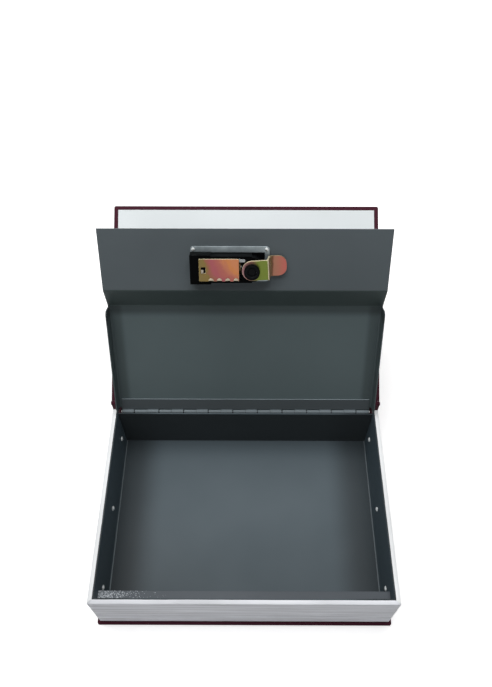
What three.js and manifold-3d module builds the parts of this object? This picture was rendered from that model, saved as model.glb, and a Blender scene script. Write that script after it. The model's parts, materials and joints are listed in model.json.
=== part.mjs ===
// Book diversion safe: a steel tray and its hinged steel lid, hidden in the shape of a clothbound book.
// It is shown as it stands open: the lid leans on the spine's cloth joint, the front cover behind it.
// Millimetres, +Z up. The origin is the centre of the book's underside, the spine is at +Y.

import * as THREE from 'three';
import { mergeVertices } from 'three/addons/utils/BufferGeometryUtils.js';
import Module from 'manifold-3d';

// Sizes of the tray, which drive the book round it
const TRAY_WIDTH = 250; // inside, head to tail
const TRAY_DEPTH = 180; // inside, fore edge to spine
const STEEL = 1.0; // tray and lid sheet
const TRAY_FOLD_RADIUS = 1.5;

// Sizes of the page block and the book's case
const BLOCK_HEIGHT = 58.4;
const PAGE_WALL = 3.7;
const BOARD_OVERHANG = 2.5; // cover boards past the page block
const BOARD_THICKNESS = 2.4;
const BOARD_CORNER_RADIUS = 2;
const BOARD_EDGE_RADIUS = 0.9;
const PAPER_THICKNESS = 0.3;
const TURN_IN = 4.3; // cloth folded over the board's inner edge, beside the endpaper
const SPINE_THICKNESS = 3.0;
const SPINE_EDGE_RADIUS = 1.2;
const SPINE_SPACE = 8.5; // from the tray's back to the spine board, room for the hinge
const JOINT_RADIUS = 1.75; // rolled cloth at the joints
const JOINT_AXIS_DROP = 0.6; // joint axis below the inner face of the front cover
const GROOVE_WIDTH = 5.2; // pressed groove beside the joint
const GROOVE_SLOPE = 2.2;
const GROOVE_FLOOR = 1.1; // cloth and board left under the groove
const JOINT_REACH = 2.1; // from the joint axis to the cover's end
const JOINT_BEVEL = 1.1;
const PAGE_LINES = 20; // grooves that stand for the page edges
const PAGE_LINE_DEPTH = 0.35;
const PAGE_LINE_SHARE = 0.55; // share of a line's pitch that the groove takes
const MITRE_GAP = 0.4;
const PAGE_WALL_SETBACK = 2; // page walls end this far past the tray's back

// Clearances
const SEAT_GAP = 0.3; // between pieces that rest on each other
const OVERRUN = 1; // how far a cutter runs past what it cuts
const WELD = 1e-4; // vertices nearer than this are one
const LID_SIDE_GAP = 0.4;
const LID_FRONT_GAP = 1.0;
const LID_SINK = 0.5; // lid below the top of the page block

// Sizes of the lid
const LID_REAR_OVERHANG = 1.5; // sheet behind the hinge axis
const SHELF_WIDTH = 54; // from the step to the free edge
const STEP_RUN = 18;
const STEP_DROP = 11.9;
const STEP_BEND_RADIUS = 3.5;
const FLANGE_DEPTH = 14.5;
const FLANGE_START = 4; // from the hinge axis
const FLANGE_SETBACK = 1.6; // from the step
const FLANGE_FOLD_RADIUS = 2;
const FLANGE_FRONT_RADIUS = 4.5;
const FLANGE_REAR_RADIUS = 5;
const FLANGE_LAP = 0.5;

// Sizes of the piano hinge
const PIN_RADIUS = 0.8;
const PIN_CLEARANCE = 0.25;
const PIN_HEAD_RADIUS = 1.4;
const PIN_HEAD_LENGTH = 0.7;
const LEAF_THICKNESS = 0.75;
const LEAF_WIDTH = 13.3;
const HINGE_LENGTH = 242;
const KNUCKLES = 20;
const KNUCKLE_GAP = 0.3;
const KNUCKLE_NOTCH_GAP = 0.35;
const BACK_WALL_GAP = 0.7; // tray's back wall below the lid's hinge leaf

// Sizes of the ledge under the lid's free edge
const LEDGE_THICKNESS = 1.0;
const LEDGE_WIDTH = 10;
const LEDGE_LEG = 11;
const LEDGE_BEND_RADIUS = 1.2;

// Sizes of the rivets that hold the page block to the tray
const RIVET_HEAD_RADIUS = 2.7;
const RIVET_HEAD_HEIGHT = 1.3;
const RIVET_SHANK_RADIUS = 1.6;
const RIVET_BITE = 2.6; // shank inside the page wall
const RIVET_HOLE_GAP = 0.2;
const RIVET_SEAT_GAP = 0.1;
const RIVET_HEIGHT = 30;
const REAR_RIVET_INSET = 12.5; // from the tray's back
const FORE_RIVET_INSET = 17.5; // from the tray's front
const FRONT_RIVET_HEIGHT = 26;
const FRONT_RIVET_INSET = 45; // from the tray's sides

// Sizes of the combination lock
const LOCK_INSET = 31.4; // centre line from the lid's free edge
const HUB_X = 5.9;
const BODY_LEFT = 51.2; // from the hub
const BODY_RIGHT = 10.4;
const BODY_WIDTH = 22.8;
const BODY_DEPTH = 12; // below the inner face of the lid's shelf
const BODY_CORNER_RADIUS = 1;
const BODY_SHOULDER = 2.3; // square part under the shelf, before the round end
const BEZEL_MARGIN_X = 2.8;
const BEZEL_MARGIN_Y = 3.2;
const BEZEL_THICKNESS = 3.0;
const BEZEL_CORNER_RADIUS = 3;
const BEZEL_ROOF = 0.9;
const BORE_RADIUS = 4.4;
const CUTOUT_GAP = 0.4;
const CHAMBER_MARGIN_LEFT = 9; // from the first wheel's middle
const CHAMBER_MARGIN_RIGHT = 4.0; // from the last wheel's middle

// Sizes of the number wheels
const WHEELS = 4;
const WHEEL_PITCH = 7;
const WHEEL_WIDTH = 5.4;
const WHEEL_RADIUS = 8.0;
const WHEEL_BORE = 4.7;
const WHEEL_RISE = 1.2; // wheels above the bezel
const WHEEL_NOTCH_DEPTH = 0.7;
const WHEEL_NOTCH_SHARE = 0.28;
const DIGITS = 10;
const LAST_WHEEL_OFFSET = 13.5; // from the hub to the last wheel's middle
const WINDOW_GAP = 0.3;
const WINDOW_LENGTH = 14;
const AXLE_RADIUS = 1.5;
const AXLE_BITE = 2.2;
const AXLE_GAP = 0.2;
const RING_BORE_GAP = 0.3;
const RING_GAP = 0.3;
const RING_DISC_RADIUS = 5.6;
const RING_DISC_WIDTH = 0.9;
const GATE_WIDTH = 2;
const GATE_DEPTH = 1.0;

// Sizes of the lock's small sheet pieces
const COMB_THICKNESS = 0.5;
const COMB_RAIL = 2.3;
const COMB_FINGER_WIDTH = 3.6;
const COMB_LUG_RADIUS = 2.1; // half-round ends, bent over the back plate's edge
const BAR_THICKNESS = 1.2;
const BAR_HEIGHT = 3;
const BACK_PLATE_LENGTH = 33.6;
const BACK_PLATE_WIDTH = 19.2;
const BACK_PLATE_THICKNESS = 1.2;
const BACK_PLATE_CORNER_RADIUS = 0.8;
const BACK_PLATE_OFFSET = 11; // from the hub to the plate's near edge
const NOTCH_GAP = 0.3;
const TAB_SLOT_OFFSET = 1.6; // from the plate's far edge
const TAB_SLOT_WIDTH = 4;
const TAB_SLOT_LENGTH = 5.4;
const TAB_WIDTH = 1.9;
const TAB_LENGTH = 2.4;
const TAB_RISE = 0.9;
const TAB_BASE_THICKNESS = 1.6;
const TAB_BASE_LENGTH = 7;
const CAP_WALL = 0.8;
const CAP_LENGTH = 17.7;
const MOUNT_THICKNESS = 1.0;
const MOUNT_SIDE_MARGIN = 1.1;
const MOUNT_HUB_MARGIN = 4.5;
const MOUNT_FRONT_MARGIN = 5.6; // the strip that shows beside the lock
const MOUNT_REAR_MARGIN = 2;
const MOUNT_CORNER_RADIUS = 2.5;
const SCREW_INSET = 2.5;
const SCREW_HEAD_RADIUS = 1.7;
const SCREW_HEAD_HEIGHT = 0.7;
const SCREW_SHANK_RADIUS = 0.9;

// Sizes of the lock's turning core
const SPINDLE_RADIUS = 4.0;
const SPINDLE_THREAD_RADIUS = 3.4;
const CAM_GAP = 1.4; // from the body's back to the cam
const CAM_THICKNESS = 1.6;
const CAM_REST_ANGLE = THREE.MathUtils.degToRad(-3.5);
const CAM_BASE_RADIUS = 8.5;
const CAM_BASE_LENGTH = 12.9; // from the hub to the crank
const CAM_CRANK_RUN = 1.6;
const CAM_CRANK_RISE = 10.8;
const CAM_BEND_RADIUS = 1.1;
const CAM_LENGTH = 29.7;
const CAM_TONGUE_WIDTH = 17.6;
const CAM_TONGUE_RADIUS = 7.2;
const WASHER_RADIUS = 6;
const WASHER_THICKNESS = 0.6;
const NUT_RADIUS = 7.1;
const NUT_HEIGHT = 4;
const NUT_CHAMFER = 0.8;
const NUT_SOCKET_RADIUS = 4.6;
const NUT_SOCKET_DEPTH = 1.4;
const KNOB_RADIUS = 8.5;
const KNOB_BASE = 2.2;
const KNOB_HEIGHT = 8.2;
const KNOB_GRIP_WIDTH = 5;
const KNOB_GRIP_CORNER_RADIUS = 2.4;
const PAWL_LENGTH = 5;
const PAWL_WIDTH = 2.4;
const PAWL_THICKNESS = 0.8;
const PAWL_OFFSET_X = 8.2;
const PAWL_INSET = 3.3; // from the body's side
const PAWL_PIN_RADIUS = 0.8;
const PAWL_PIN_BITE = 3;
const PAWL_PIN_GAP = 0.2;

// How finely round shapes are cut
const FINE_SIDES = 32;
const ROUND_SIDES = 20;
const SMALL_SIDES = 12;
const FILLET_STEPS = 4;

// Heights, from the table up
const COVER_STACK = BOARD_THICKNESS + SEAT_GAP + PAPER_THICKNESS;
const BLOCK_BOTTOM = COVER_STACK + SEAT_GAP;
const BLOCK_TOP = BLOCK_BOTTOM + BLOCK_HEIGHT;
const FRONT_COVER_BOTTOM = BLOCK_TOP + SEAT_GAP;
const BOOK_HEIGHT = FRONT_COVER_BOTTOM + COVER_STACK;
const LID_TOP = BLOCK_TOP - LID_SINK;
const PANEL_INNER = LID_TOP - STEEL;
const SHELF_TOP = LID_TOP - STEP_DROP;
const SHELF_INNER = SHELF_TOP - STEEL;
const LEDGE_TOP = SHELF_INNER - SEAT_GAP;

// Widths and depths of the book
const TRAY_HALF = TRAY_WIDTH / 2;
const BLOCK_HALF = TRAY_HALF + STEEL + SEAT_GAP + PAGE_WALL;
const BOOK_HALF = BLOCK_HALF + BOARD_OVERHANG;
const FRONT_STACK = BOARD_OVERHANG + PAGE_WALL + SEAT_GAP + STEEL;
const BOOK_DEPTH = FRONT_STACK + TRAY_DEPTH + STEEL + SPINE_SPACE + SPINE_THICKNESS;
const BOOK_FRONT = -BOOK_DEPTH / 2;
const BOOK_BACK = BOOK_DEPTH / 2;
const BLOCK_FRONT = BOOK_FRONT + BOARD_OVERHANG;
const TRAY_FRONT = BOOK_FRONT + FRONT_STACK;
const TRAY_BACK = TRAY_FRONT + TRAY_DEPTH;
const SPINE_FRONT = BOOK_BACK - SPINE_THICKNESS;

// The lid's hinge axis, and the cloth joint's axis that the front cover turns on
const BARREL_BORE = PIN_RADIUS + PIN_CLEARANCE;
const BARREL_RADIUS = BARREL_BORE + LEAF_THICKNESS;
const HINGE_Y = TRAY_BACK + STEEL + SEAT_GAP + BARREL_RADIUS;
const HINGE_Z = PANEL_INNER - SEAT_GAP - BARREL_RADIUS;
const JOINT_Y = BOOK_BACK - JOINT_RADIUS;
const JOINT_Z = FRONT_COVER_BOTTOM - JOINT_AXIS_DROP;

// The lid opens until its outer face rests on the rolled cloth joint
const STOP_DISTANCE = Math.hypot(JOINT_Y - HINGE_Y, JOINT_Z - HINGE_Z);
const STOP_BEARING = Math.atan2(JOINT_Z - HINGE_Z, JOINT_Y - HINGE_Y);
const STOP_OFFSET = LID_TOP - HINGE_Z + JOINT_RADIUS + SEAT_GAP;
const LID_EDGE = TRAY_FRONT + LID_FRONT_GAP;
const LID_HALF = TRAY_HALF - LID_SIDE_GAP;
const STEP_FOOT = LID_EDGE + SHELF_WIDTH;
const STEP_HEAD = STEP_FOOT + STEP_RUN;
const LID_OPEN_ANGLE = Math.PI - STOP_BEARING - Math.asin(STOP_OFFSET / STOP_DISTANCE);
const COVER_OPEN_ANGLE = THREE.MathUtils.degToRad(150.5);

// The lock's own frame
const LOCK_Y = LID_EDGE + LOCK_INSET;
const BODY_BACK = SHELF_INNER - BODY_DEPTH;
const BODY_X0 = HUB_X - BODY_LEFT;
const BODY_X1 = HUB_X + BODY_RIGHT;
const BEZEL_BOTTOM = SHELF_TOP + SEAT_GAP;
const BEZEL_TOP = BEZEL_BOTTOM + BEZEL_THICKNESS;
const WHEEL_Z = BEZEL_TOP + WHEEL_RISE - WHEEL_RADIUS;
const LAST_WHEEL_X = HUB_X - LAST_WHEEL_OFFSET;
const FIRST_WHEEL_X = LAST_WHEEL_X - (WHEELS - 1) * WHEEL_PITCH;
const CHAMBER_X0 = FIRST_WHEEL_X - CHAMBER_MARGIN_LEFT;
const CHAMBER_X1 = LAST_WHEEL_X + CHAMBER_MARGIN_RIGHT + RING_DISC_WIDTH;
const COMB_Y = LOCK_Y + WHEEL_RADIUS + SEAT_GAP;
const BAR_Y = LOCK_Y - WHEEL_RADIUS - SEAT_GAP;
const MOUNT_TOP = SHELF_INNER - SEAT_GAP;
const MOUNT_BOTTOM = MOUNT_TOP - MOUNT_THICKNESS;
const MOUNT_FRONT = LOCK_Y - BODY_WIDTH / 2 - MOUNT_FRONT_MARGIN;
const BACK_PLATE_TOP = BODY_BACK - SEAT_GAP;
const BACK_PLATE_BOTTOM = BACK_PLATE_TOP - BACK_PLATE_THICKNESS;
const BACK_PLATE_X1 = HUB_X - BACK_PLATE_OFFSET;
const BACK_PLATE_X0 = BACK_PLATE_X1 - BACK_PLATE_LENGTH;
const TAB_SLOT_X0 = BACK_PLATE_X0 + TAB_SLOT_OFFSET;
const PAWL_Y = LOCK_Y - BODY_WIDTH / 2 + PAWL_INSET;
const CAM_TOP = BODY_BACK - CAM_GAP;
const CAM_BOTTOM = CAM_TOP - CAM_THICKNESS;
const WASHER_TOP = CAM_BOTTOM - SEAT_GAP;
const NUT_TOP = WASHER_TOP - WASHER_THICKNESS - SEAT_GAP;
const NUT_BOTTOM = NUT_TOP - NUT_HEIGHT;

const wasm = await Module();
wasm.setup();

// Solids: a geometry becomes a closed solid for a cut or a join, and comes back as a geometry
function toSolid(geometry) {
  const bare = new THREE.BufferGeometry();
  bare.setAttribute('position', geometry.attributes.position);
  bare.setIndex(geometry.index);
  const merged = mergeVertices(bare, WELD);
  return new wasm.Manifold(new wasm.Mesh({
    numProp: 3,
    vertProperties: new Float32Array(merged.attributes.position.array),
    triVerts: new Uint32Array(merged.index.array),
  }));
}

function toGeometry(solid) {
  const mesh = solid.getMesh();
  const geometry = new THREE.BufferGeometry();
  geometry.setAttribute('position', new THREE.BufferAttribute(new Float32Array(mesh.vertProperties), 3));
  geometry.setIndex(new THREE.BufferAttribute(new Uint32Array(mesh.triVerts), 1));
  geometry.computeVertexNormals();
  return geometry;
}

function join(...geometries) {
  return toGeometry(geometries.map(toSolid).reduce((whole, piece) => whole.add(piece)));
}

function cut(geometry, ...cutters) {
  return toGeometry(cutters.map(toSolid).reduce((whole, piece) => whole.subtract(piece), toSolid(geometry)));
}

function common(a, b) {
  return toGeometry(toSolid(a).intersect(toSolid(b)));
}

// Outlines: lists of points in a plane
function arc(a, b, radius, from, to, steps) {
  const points = [];
  for (let i = 0; i <= steps; i += 1) {
    const angle = from + ((to - from) * i) / steps;
    points.push([a + radius * Math.cos(angle), b + radius * Math.sin(angle)]);
  }
  return points;
}

function circle(a, b, radius, sides = ROUND_SIDES) {
  return arc(a, b, radius, 0, 2 * Math.PI, sides).slice(0, sides);
}

// A polyline with its inner corners rounded; each point is [a, b] or [a, b, radius]
function filleted(points, closed = true) {
  const count = points.length;
  const rounded = [];
  for (let i = 0; i < count; i += 1) {
    const [a, b, radius = 0] = points[i];
    if (radius === 0 || (!closed && (i === 0 || i === count - 1))) {
      rounded.push([a, b]);
      continue;
    }
    const corner = new THREE.Vector2(a, b);
    const before = points[(i + count - 1) % count];
    const after = points[(i + 1) % count];
    const back = new THREE.Vector2(before[0] - a, before[1] - b).normalize();
    const on = new THREE.Vector2(after[0] - a, after[1] - b).normalize();
    const half = Math.acos(THREE.MathUtils.clamp(back.dot(on), -1, 1)) / 2;
    const centre = corner.clone().addScaledVector(back.clone().add(on).normalize(), radius / Math.sin(half));
    const first = corner.clone().addScaledVector(back, radius / Math.tan(half)).sub(centre);
    const last = corner.clone().addScaledVector(on, radius / Math.tan(half)).sub(centre);
    const sweep = Math.atan2(first.cross(last), first.dot(last));
    rounded.push(...arc(centre.x, centre.y, radius, first.angle(), first.angle() + sweep, FILLET_STEPS));
  }
  return rounded;
}

function rectangle(a0, b0, a1, b1, radius = 0) {
  return filleted([[a0, b0, radius], [a1, b0, radius], [a1, b1, radius], [a0, b1, radius]]);
}

// The outline of a bent sheet whose middle follows a path
function sheet(path, thickness) {
  const middle = filleted(path, false).map(([a, b]) => new THREE.Vector2(a, b));
  const left = [];
  const right = [];
  middle.forEach((point, i) => {
    const before = middle[Math.max(i - 1, 0)];
    const after = middle[Math.min(i + 1, middle.length - 1)];
    const inward = point.clone().sub(before).normalize();
    const outward = after.clone().sub(point).normalize();
    const along = inward.clone().add(outward).normalize();
    const reach = thickness / 2 / Math.max(along.dot(outward), along.dot(inward));
    left.push([point.x - along.y * reach, point.y + along.x * reach]);
    right.unshift([point.x + along.y * reach, point.y - along.x * reach]);
  });
  return [...left, ...right];
}

// Extrusions: an outline and its holes, pushed along one axis
function pushed(outline, depth, holes) {
  const shape = new THREE.Shape(outline.map(([a, b]) => new THREE.Vector2(a, b)));
  shape.holes = holes.map((hole) => new THREE.Path(hole.map(([a, b]) => new THREE.Vector2(a, b))));
  return new THREE.ExtrudeGeometry(shape, { depth, bevelEnabled: false });
}

const X_AXIS = new THREE.Vector3(1, 0, 0);
const Y_AXIS = new THREE.Vector3(0, 1, 0);
const Z_AXIS = new THREE.Vector3(0, 0, 1);

// Outline in (y, z), from x0 to x1
function alongX(outline, x0, x1, holes = []) {
  const turn = new THREE.Matrix4().makeBasis(Y_AXIS, Z_AXIS, X_AXIS);
  return pushed(outline, x1 - x0, holes).applyMatrix4(turn).translate(x0, 0, 0);
}

// Outline in (x, z), from y0 to y1
function alongY(outline, y0, y1, holes = []) {
  const turn = new THREE.Matrix4().makeBasis(X_AXIS, Z_AXIS, Y_AXIS.clone().negate());
  return pushed(outline, y1 - y0, holes).applyMatrix4(turn).translate(0, y1, 0);
}

// Outline in (x, y), from z0 to z1
function upward(outline, z0, z1, holes = []) {
  return pushed(outline, z1 - z0, holes).translate(0, 0, z0);
}

function block(x0, x1, y0, y1, z0, z1) {
  return upward(rectangle(x0, y0, x1, y1), z0, z1);
}

// A turned piece: profile points are [radius, height] up the Z axis
function turned(profile, sides = ROUND_SIDES) {
  const points = profile.map(([radius, height]) => new THREE.Vector2(radius, height));
  return new THREE.LatheGeometry(points, sides).rotateX(Math.PI / 2);
}

// Finishes
function finish(colour, roughness, metalness = 0) {
  return new THREE.MeshStandardMaterial({ color: colour, roughness, metalness });
}

const CLOTH = finish('#522636', 0.7);
const PAPER = finish('#e4eaec', 0.85);
const BOARD = finish('#8d8577', 0.9);
const PAGES = finish('#e4e6ec', 0.6);
const PAINT = finish('#5a6266', 0.45);
const LEDGE_PAINT = finish('#5e656c', 0.5);
const BRIGHT = finish('#c8cccc', 0.3, 1);
const ZINC = finish('#8b9599', 0.4, 0.6);
const YELLOW_ZINC = finish('#b98a5e', 0.35, 0.8);
const BLACK = finish('#0d0e10', 0.5);
const WHITE = finish('#e8e6df', 0.4);

// The four groups: the book's body stays put, the others are built closed and turned open
const safe = new THREE.Group();
const box = new THREE.Group();

// A group whose pieces are drawn in the closed book's place and turned about an axis along X
function hinged(y, z, angle) {
  const turning = new THREE.Group();
  turning.position.set(0, y, z);
  turning.rotation.x = angle;
  const drawn = new THREE.Group();
  drawn.position.set(0, -y, -z);
  turning.add(drawn);
  safe.add(turning);
  return drawn;
}

safe.add(box);
const lid = hinged(HINGE_Y, HINGE_Z, -LID_OPEN_ANGLE);
const frontCover = hinged(JOINT_Y, JOINT_Z, -COVER_OPEN_ANGLE);

function add(group, name, geometry, material) {
  const mesh = new THREE.Mesh(geometry, material);
  mesh.name = name;
  group.add(mesh);
}

// Case boards: one profile serves both covers, measured from the outer face inwards
function coverBoard(height) {
  const end = JOINT_Y - JOINT_REACH;
  const profile = filleted([
    [BOOK_FRONT, 0, BOARD_EDGE_RADIUS],
    [BOOK_FRONT, BOARD_THICKNESS, BOARD_EDGE_RADIUS],
    [end, BOARD_THICKNESS],
    [end - JOINT_BEVEL, BOARD_THICKNESS - GROOVE_FLOOR],
    [end - GROOVE_WIDTH, BOARD_THICKNESS - GROOVE_FLOOR],
    [end - GROOVE_WIDTH - GROOVE_SLOPE, 0],
  ]).map(([y, depth]) => [y, height(depth)]);
  const plan = rectangle(-BOOK_HALF, BOOK_FRONT, BOOK_HALF, BOOK_BACK, BOARD_CORNER_RADIUS);
  const low = Math.min(height(0), height(BOARD_THICKNESS)) - OVERRUN;
  const high = Math.max(height(0), height(BOARD_THICKNESS)) + OVERRUN;
  return common(alongX(profile, -BOOK_HALF, BOOK_HALF), upward(plan, low, high));
}

function endpaper(bottom) {
  const front = BOOK_FRONT + TURN_IN;
  const back = JOINT_Y - JOINT_REACH - GROOVE_WIDTH - GROOVE_SLOPE;
  const half = BOOK_HALF - TURN_IN;
  return block(-half, half, front, back, bottom, bottom + PAPER_THICKNESS);
}

function rolledJoint(z) {
  return alongX(circle(JOINT_Y, z, JOINT_RADIUS), -BOOK_HALF, BOOK_HALF);
}

function spineBoard() {
  const clear = JOINT_RADIUS + SEAT_GAP;
  const outline = filleted([
    [SPINE_FRONT, BOOK_HEIGHT - JOINT_Z + clear],
    [BOOK_BACK, BOOK_HEIGHT - JOINT_Z + clear, SPINE_EDGE_RADIUS],
    [BOOK_BACK, JOINT_Z - clear, SPINE_EDGE_RADIUS],
    [SPINE_FRONT, JOINT_Z - clear],
  ]);
  return alongX(outline, -BOOK_HALF, BOOK_HALF);
}

// The board strip that the spine is glued to, between the tray's back and the spine
function spineLiner() {
  const front = TRAY_BACK + STEEL + SEAT_GAP;
  const bottom = BOOK_HEIGHT - JOINT_Z + JOINT_RADIUS + SEAT_GAP;
  const top = HINGE_Z - LEAF_WIDTH - SEAT_GAP;
  return block(-TRAY_HALF, TRAY_HALF, front, SPINE_FRONT - SEAT_GAP, bottom, top);
}

add(box, 'back_cover_board', coverBoard((depth) => depth), CLOTH);
add(box, 'back_endpaper', endpaper(BOARD_THICKNESS + SEAT_GAP), PAPER);
add(box, 'cloth_joint_back', rolledJoint(BOOK_HEIGHT - JOINT_Z), CLOTH);
add(box, 'spine_board', spineBoard(), CLOTH);
add(box, 'spine_liner', spineLiner(), BOARD);
add(box, 'cloth_joint_front', rolledJoint(JOINT_Z), CLOTH);
add(frontCover, 'front_cover_board', coverBoard((depth) => BOOK_HEIGHT - depth), CLOTH);
add(frontCover, 'front_endpaper', endpaper(FRONT_COVER_BOTTOM), PAPER);

// Rivet places: the side rows stand at three depths, the front row at two widths
const REAR_RIVET_Y = TRAY_BACK - REAR_RIVET_INSET;
const FORE_RIVET_Y = TRAY_FRONT + FORE_RIVET_INSET;
const SIDE_RIVETS = [
  ['rear', REAR_RIVET_Y],
  ['middle', (REAR_RIVET_Y + FORE_RIVET_Y) / 2],
  ['front', FORE_RIVET_Y],
];
const SIDES = [['left', -1], ['right', 1]];

function rivetHole(turn, place) {
  const radius = RIVET_SHANK_RADIUS + RIVET_HOLE_GAP;
  const depth = STEEL + SEAT_GAP + RIVET_BITE + SEAT_GAP;
  const hole = turned([[0, -depth], [radius, -depth], [radius, OVERRUN], [0, OVERRUN]], SMALL_SIDES);
  return turn(hole).translate(...place);
}

function rivet(turn, place) {
  const depth = STEEL + SEAT_GAP + RIVET_BITE;
  const domeShares = [[1, 0], [0.94, 0.4], [0.72, 0.78], [0.38, 0.96], [0, 1]];
  const profile = [
    [0, -depth],
    [RIVET_SHANK_RADIUS, -depth],
    [RIVET_SHANK_RADIUS, RIVET_SEAT_GAP],
    ...domeShares.map(([across, up]) => [
      across * RIVET_HEAD_RADIUS,
      RIVET_SEAT_GAP + up * RIVET_HEAD_HEIGHT,
    ]),
  ];
  return turn(turned(profile, SMALL_SIDES)).translate(...place);
}

// Each rivet's head faces into the tray
const rivets = [];
for (const [side, sign] of SIDES) {
  const turn = (piece) => piece.rotateY(-sign * Math.PI / 2);
  for (const [row, y] of SIDE_RIVETS) {
    rivets.push({ name: `rivet_${side}_${row}`, turn, place: [sign * TRAY_HALF, y, RIVET_HEIGHT] });
  }
  rivets.push({
    name: `rivet_front_${side}`,
    turn: (piece) => piece.rotateX(-Math.PI / 2),
    place: [sign * (TRAY_HALF - FRONT_RIVET_INSET), TRAY_FRONT, FRONT_RIVET_HEIGHT],
  });
}
const rivetHoles = rivets.map(({ turn, place }) => rivetHole(turn, place));
for (const { name, turn, place } of rivets) {
  add(box, name, rivet(turn, place), BRIGHT);
}

// The tray: one bent sheet for the floor and sides, closed by the front and back walls
function steelTray() {
  const wall = TRAY_HALF + STEEL / 2;
  const floor = BLOCK_BOTTOM + STEEL / 2;
  const outside = TRAY_HALF + STEEL;
  const outer = TRAY_FOLD_RADIUS + STEEL / 2;
  const trough = sheet([
    [-wall, BLOCK_TOP],
    [-wall, floor, TRAY_FOLD_RADIUS],
    [wall, floor, TRAY_FOLD_RADIUS],
    [wall, BLOCK_TOP],
  ], STEEL);
  const end = (top) => filleted([
    [-outside, top],
    [-outside, BLOCK_BOTTOM, outer],
    [outside, BLOCK_BOTTOM, outer],
    [outside, top],
  ]);
  const backTop = HINGE_Z + BARREL_RADIUS - LEAF_THICKNESS - BACK_WALL_GAP;
  const front = alongY(end(BLOCK_TOP), TRAY_FRONT - STEEL, TRAY_FRONT);
  const back = alongY(end(backTop), TRAY_BACK, TRAY_BACK + STEEL);
  const whole = join(alongY(trough, TRAY_FRONT - STEEL, TRAY_BACK + STEEL), front, back);
  return cut(whole, ...rivetHoles);
}

// A page wall's section, as [depth from the outer face, height]: fine grooves down the outer face
function pageSection() {
  const pitch = BLOCK_HEIGHT / PAGE_LINES;
  const half = (pitch * PAGE_LINE_SHARE) / 2;
  const section = [[PAGE_WALL, BLOCK_TOP], [PAGE_WALL, BLOCK_BOTTOM], [0, BLOCK_BOTTOM]];
  for (let i = 0; i < PAGE_LINES; i += 1) {
    const middle = BLOCK_BOTTOM + (i + 0.5) * pitch;
    section.push([0, middle - half], [PAGE_LINE_DEPTH, middle], [0, middle + half]);
  }
  section.push([0, BLOCK_TOP]);
  return section;
}

// Moves the ends of an extruded page wall onto its mitres
function reshaped(geometry, move) {
  const position = geometry.attributes.position;
  const point = new THREE.Vector3();
  for (let i = 0; i < position.count; i += 1) {
    point.fromBufferAttribute(position, i);
    move(point);
    position.setXYZ(i, point.x, point.y, point.z);
  }
  return geometry;
}

function pageFront() {
  const outline = pageSection().map(([depth, z]) => [BLOCK_FRONT + depth, z]);
  const wall = reshaped(alongX(outline, -BLOCK_HALF, BLOCK_HALF), (point) => {
    const depth = point.y - BLOCK_FRONT;
    point.x -= Math.sign(point.x) * (depth + MITRE_GAP / 2);
  });
  return cut(wall, ...rivetHoles);
}

function pageSide(sign) {
  const outline = pageSection().map(([depth, z]) => [sign * (BLOCK_HALF - depth), z]);
  const back = TRAY_BACK + STEEL + PAGE_WALL_SETBACK;
  const wall = reshaped(alongY(outline, BLOCK_FRONT, back), (point) => {
    const depth = BLOCK_HALF - Math.abs(point.x);
    point.y += point.y < 0 ? depth + MITRE_GAP / 2 : 0;
  });
  return cut(wall, ...rivetHoles);
}

function frontLedge() {
  const leg = TRAY_FRONT + SEAT_GAP + LEDGE_THICKNESS / 2;
  const top = LEDGE_TOP - LEDGE_THICKNESS / 2;
  const outline = sheet([
    [leg, LEDGE_TOP - LEDGE_LEG],
    [leg, top, LEDGE_BEND_RADIUS],
    [TRAY_FRONT + LEDGE_WIDTH, top],
  ], LEDGE_THICKNESS);
  return alongX(outline, -TRAY_HALF + SEAT_GAP, TRAY_HALF - SEAT_GAP);
}

add(box, 'steel_tray', steelTray(), PAINT);
add(box, 'page_edge_front', pageFront(), PAGES);
for (const [side, sign] of SIDES) {
  add(box, `page_edge_${side}`, pageSide(sign), PAGES);
}
add(box, 'front_ledge', frontLedge(), LEDGE_PAINT);

// A hinge leaf with every second knuckle; place maps [along the leaf, across it] to [y, z]
function hingeLeaf(first, place) {
  const pitch = HINGE_LENGTH / KNUCKLES;
  const notch = BARREL_RADIUS + KNUCKLE_NOTCH_GAP;
  const [low, high] = [BARREL_BORE, BARREL_RADIUS];
  const strip = (from, to) => [[from, low], [to, low], [to, high], [from, high]];
  const pieces = [alongX(strip(notch, LEAF_WIDTH).map(place), -HINGE_LENGTH / 2, HINGE_LENGTH / 2)];
  for (let i = first; i < KNUCKLES; i += 2) {
    const x0 = -HINGE_LENGTH / 2 + i * pitch + KNUCKLE_GAP / 2;
    const x1 = x0 + pitch - KNUCKLE_GAP;
    pieces.push(alongX(circle(0, 0, BARREL_RADIUS).map(place), x0, x1));
    pieces.push(alongX(strip(0, notch + LEAF_THICKNESS).map(place), x0, x1));
  }
  const end = HINGE_LENGTH / 2 + OVERRUN;
  return cut(join(...pieces), alongX(circle(0, 0, BARREL_BORE).map(place), -end, end));
}

function hingePin() {
  const end = HINGE_LENGTH / 2;
  const heads = [-1, 1].map((sign) => {
    const inner = sign * (end + KNUCKLE_GAP);
    const outer = inner + sign * PIN_HEAD_LENGTH;
    const head = circle(HINGE_Y, HINGE_Z, PIN_HEAD_RADIUS, SMALL_SIDES);
    return alongX(head, Math.min(inner, outer), Math.max(inner, outer));
  });
  const reach = end + KNUCKLE_GAP + PIN_HEAD_LENGTH / 2;
  return join(alongX(circle(HINGE_Y, HINGE_Z, PIN_RADIUS, SMALL_SIDES), -reach, reach), ...heads);
}

add(box, 'hinge_leaf_box', hingeLeaf(1, ([along, across]) => [HINGE_Y - across, HINGE_Z - along]), PAINT);
add(box, 'hinge_pin', hingePin(), BRIGHT);
add(lid, 'hinge_leaf_lid', hingeLeaf(0, ([along, across]) => [HINGE_Y - along, HINGE_Z + across]), PAINT);

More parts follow.
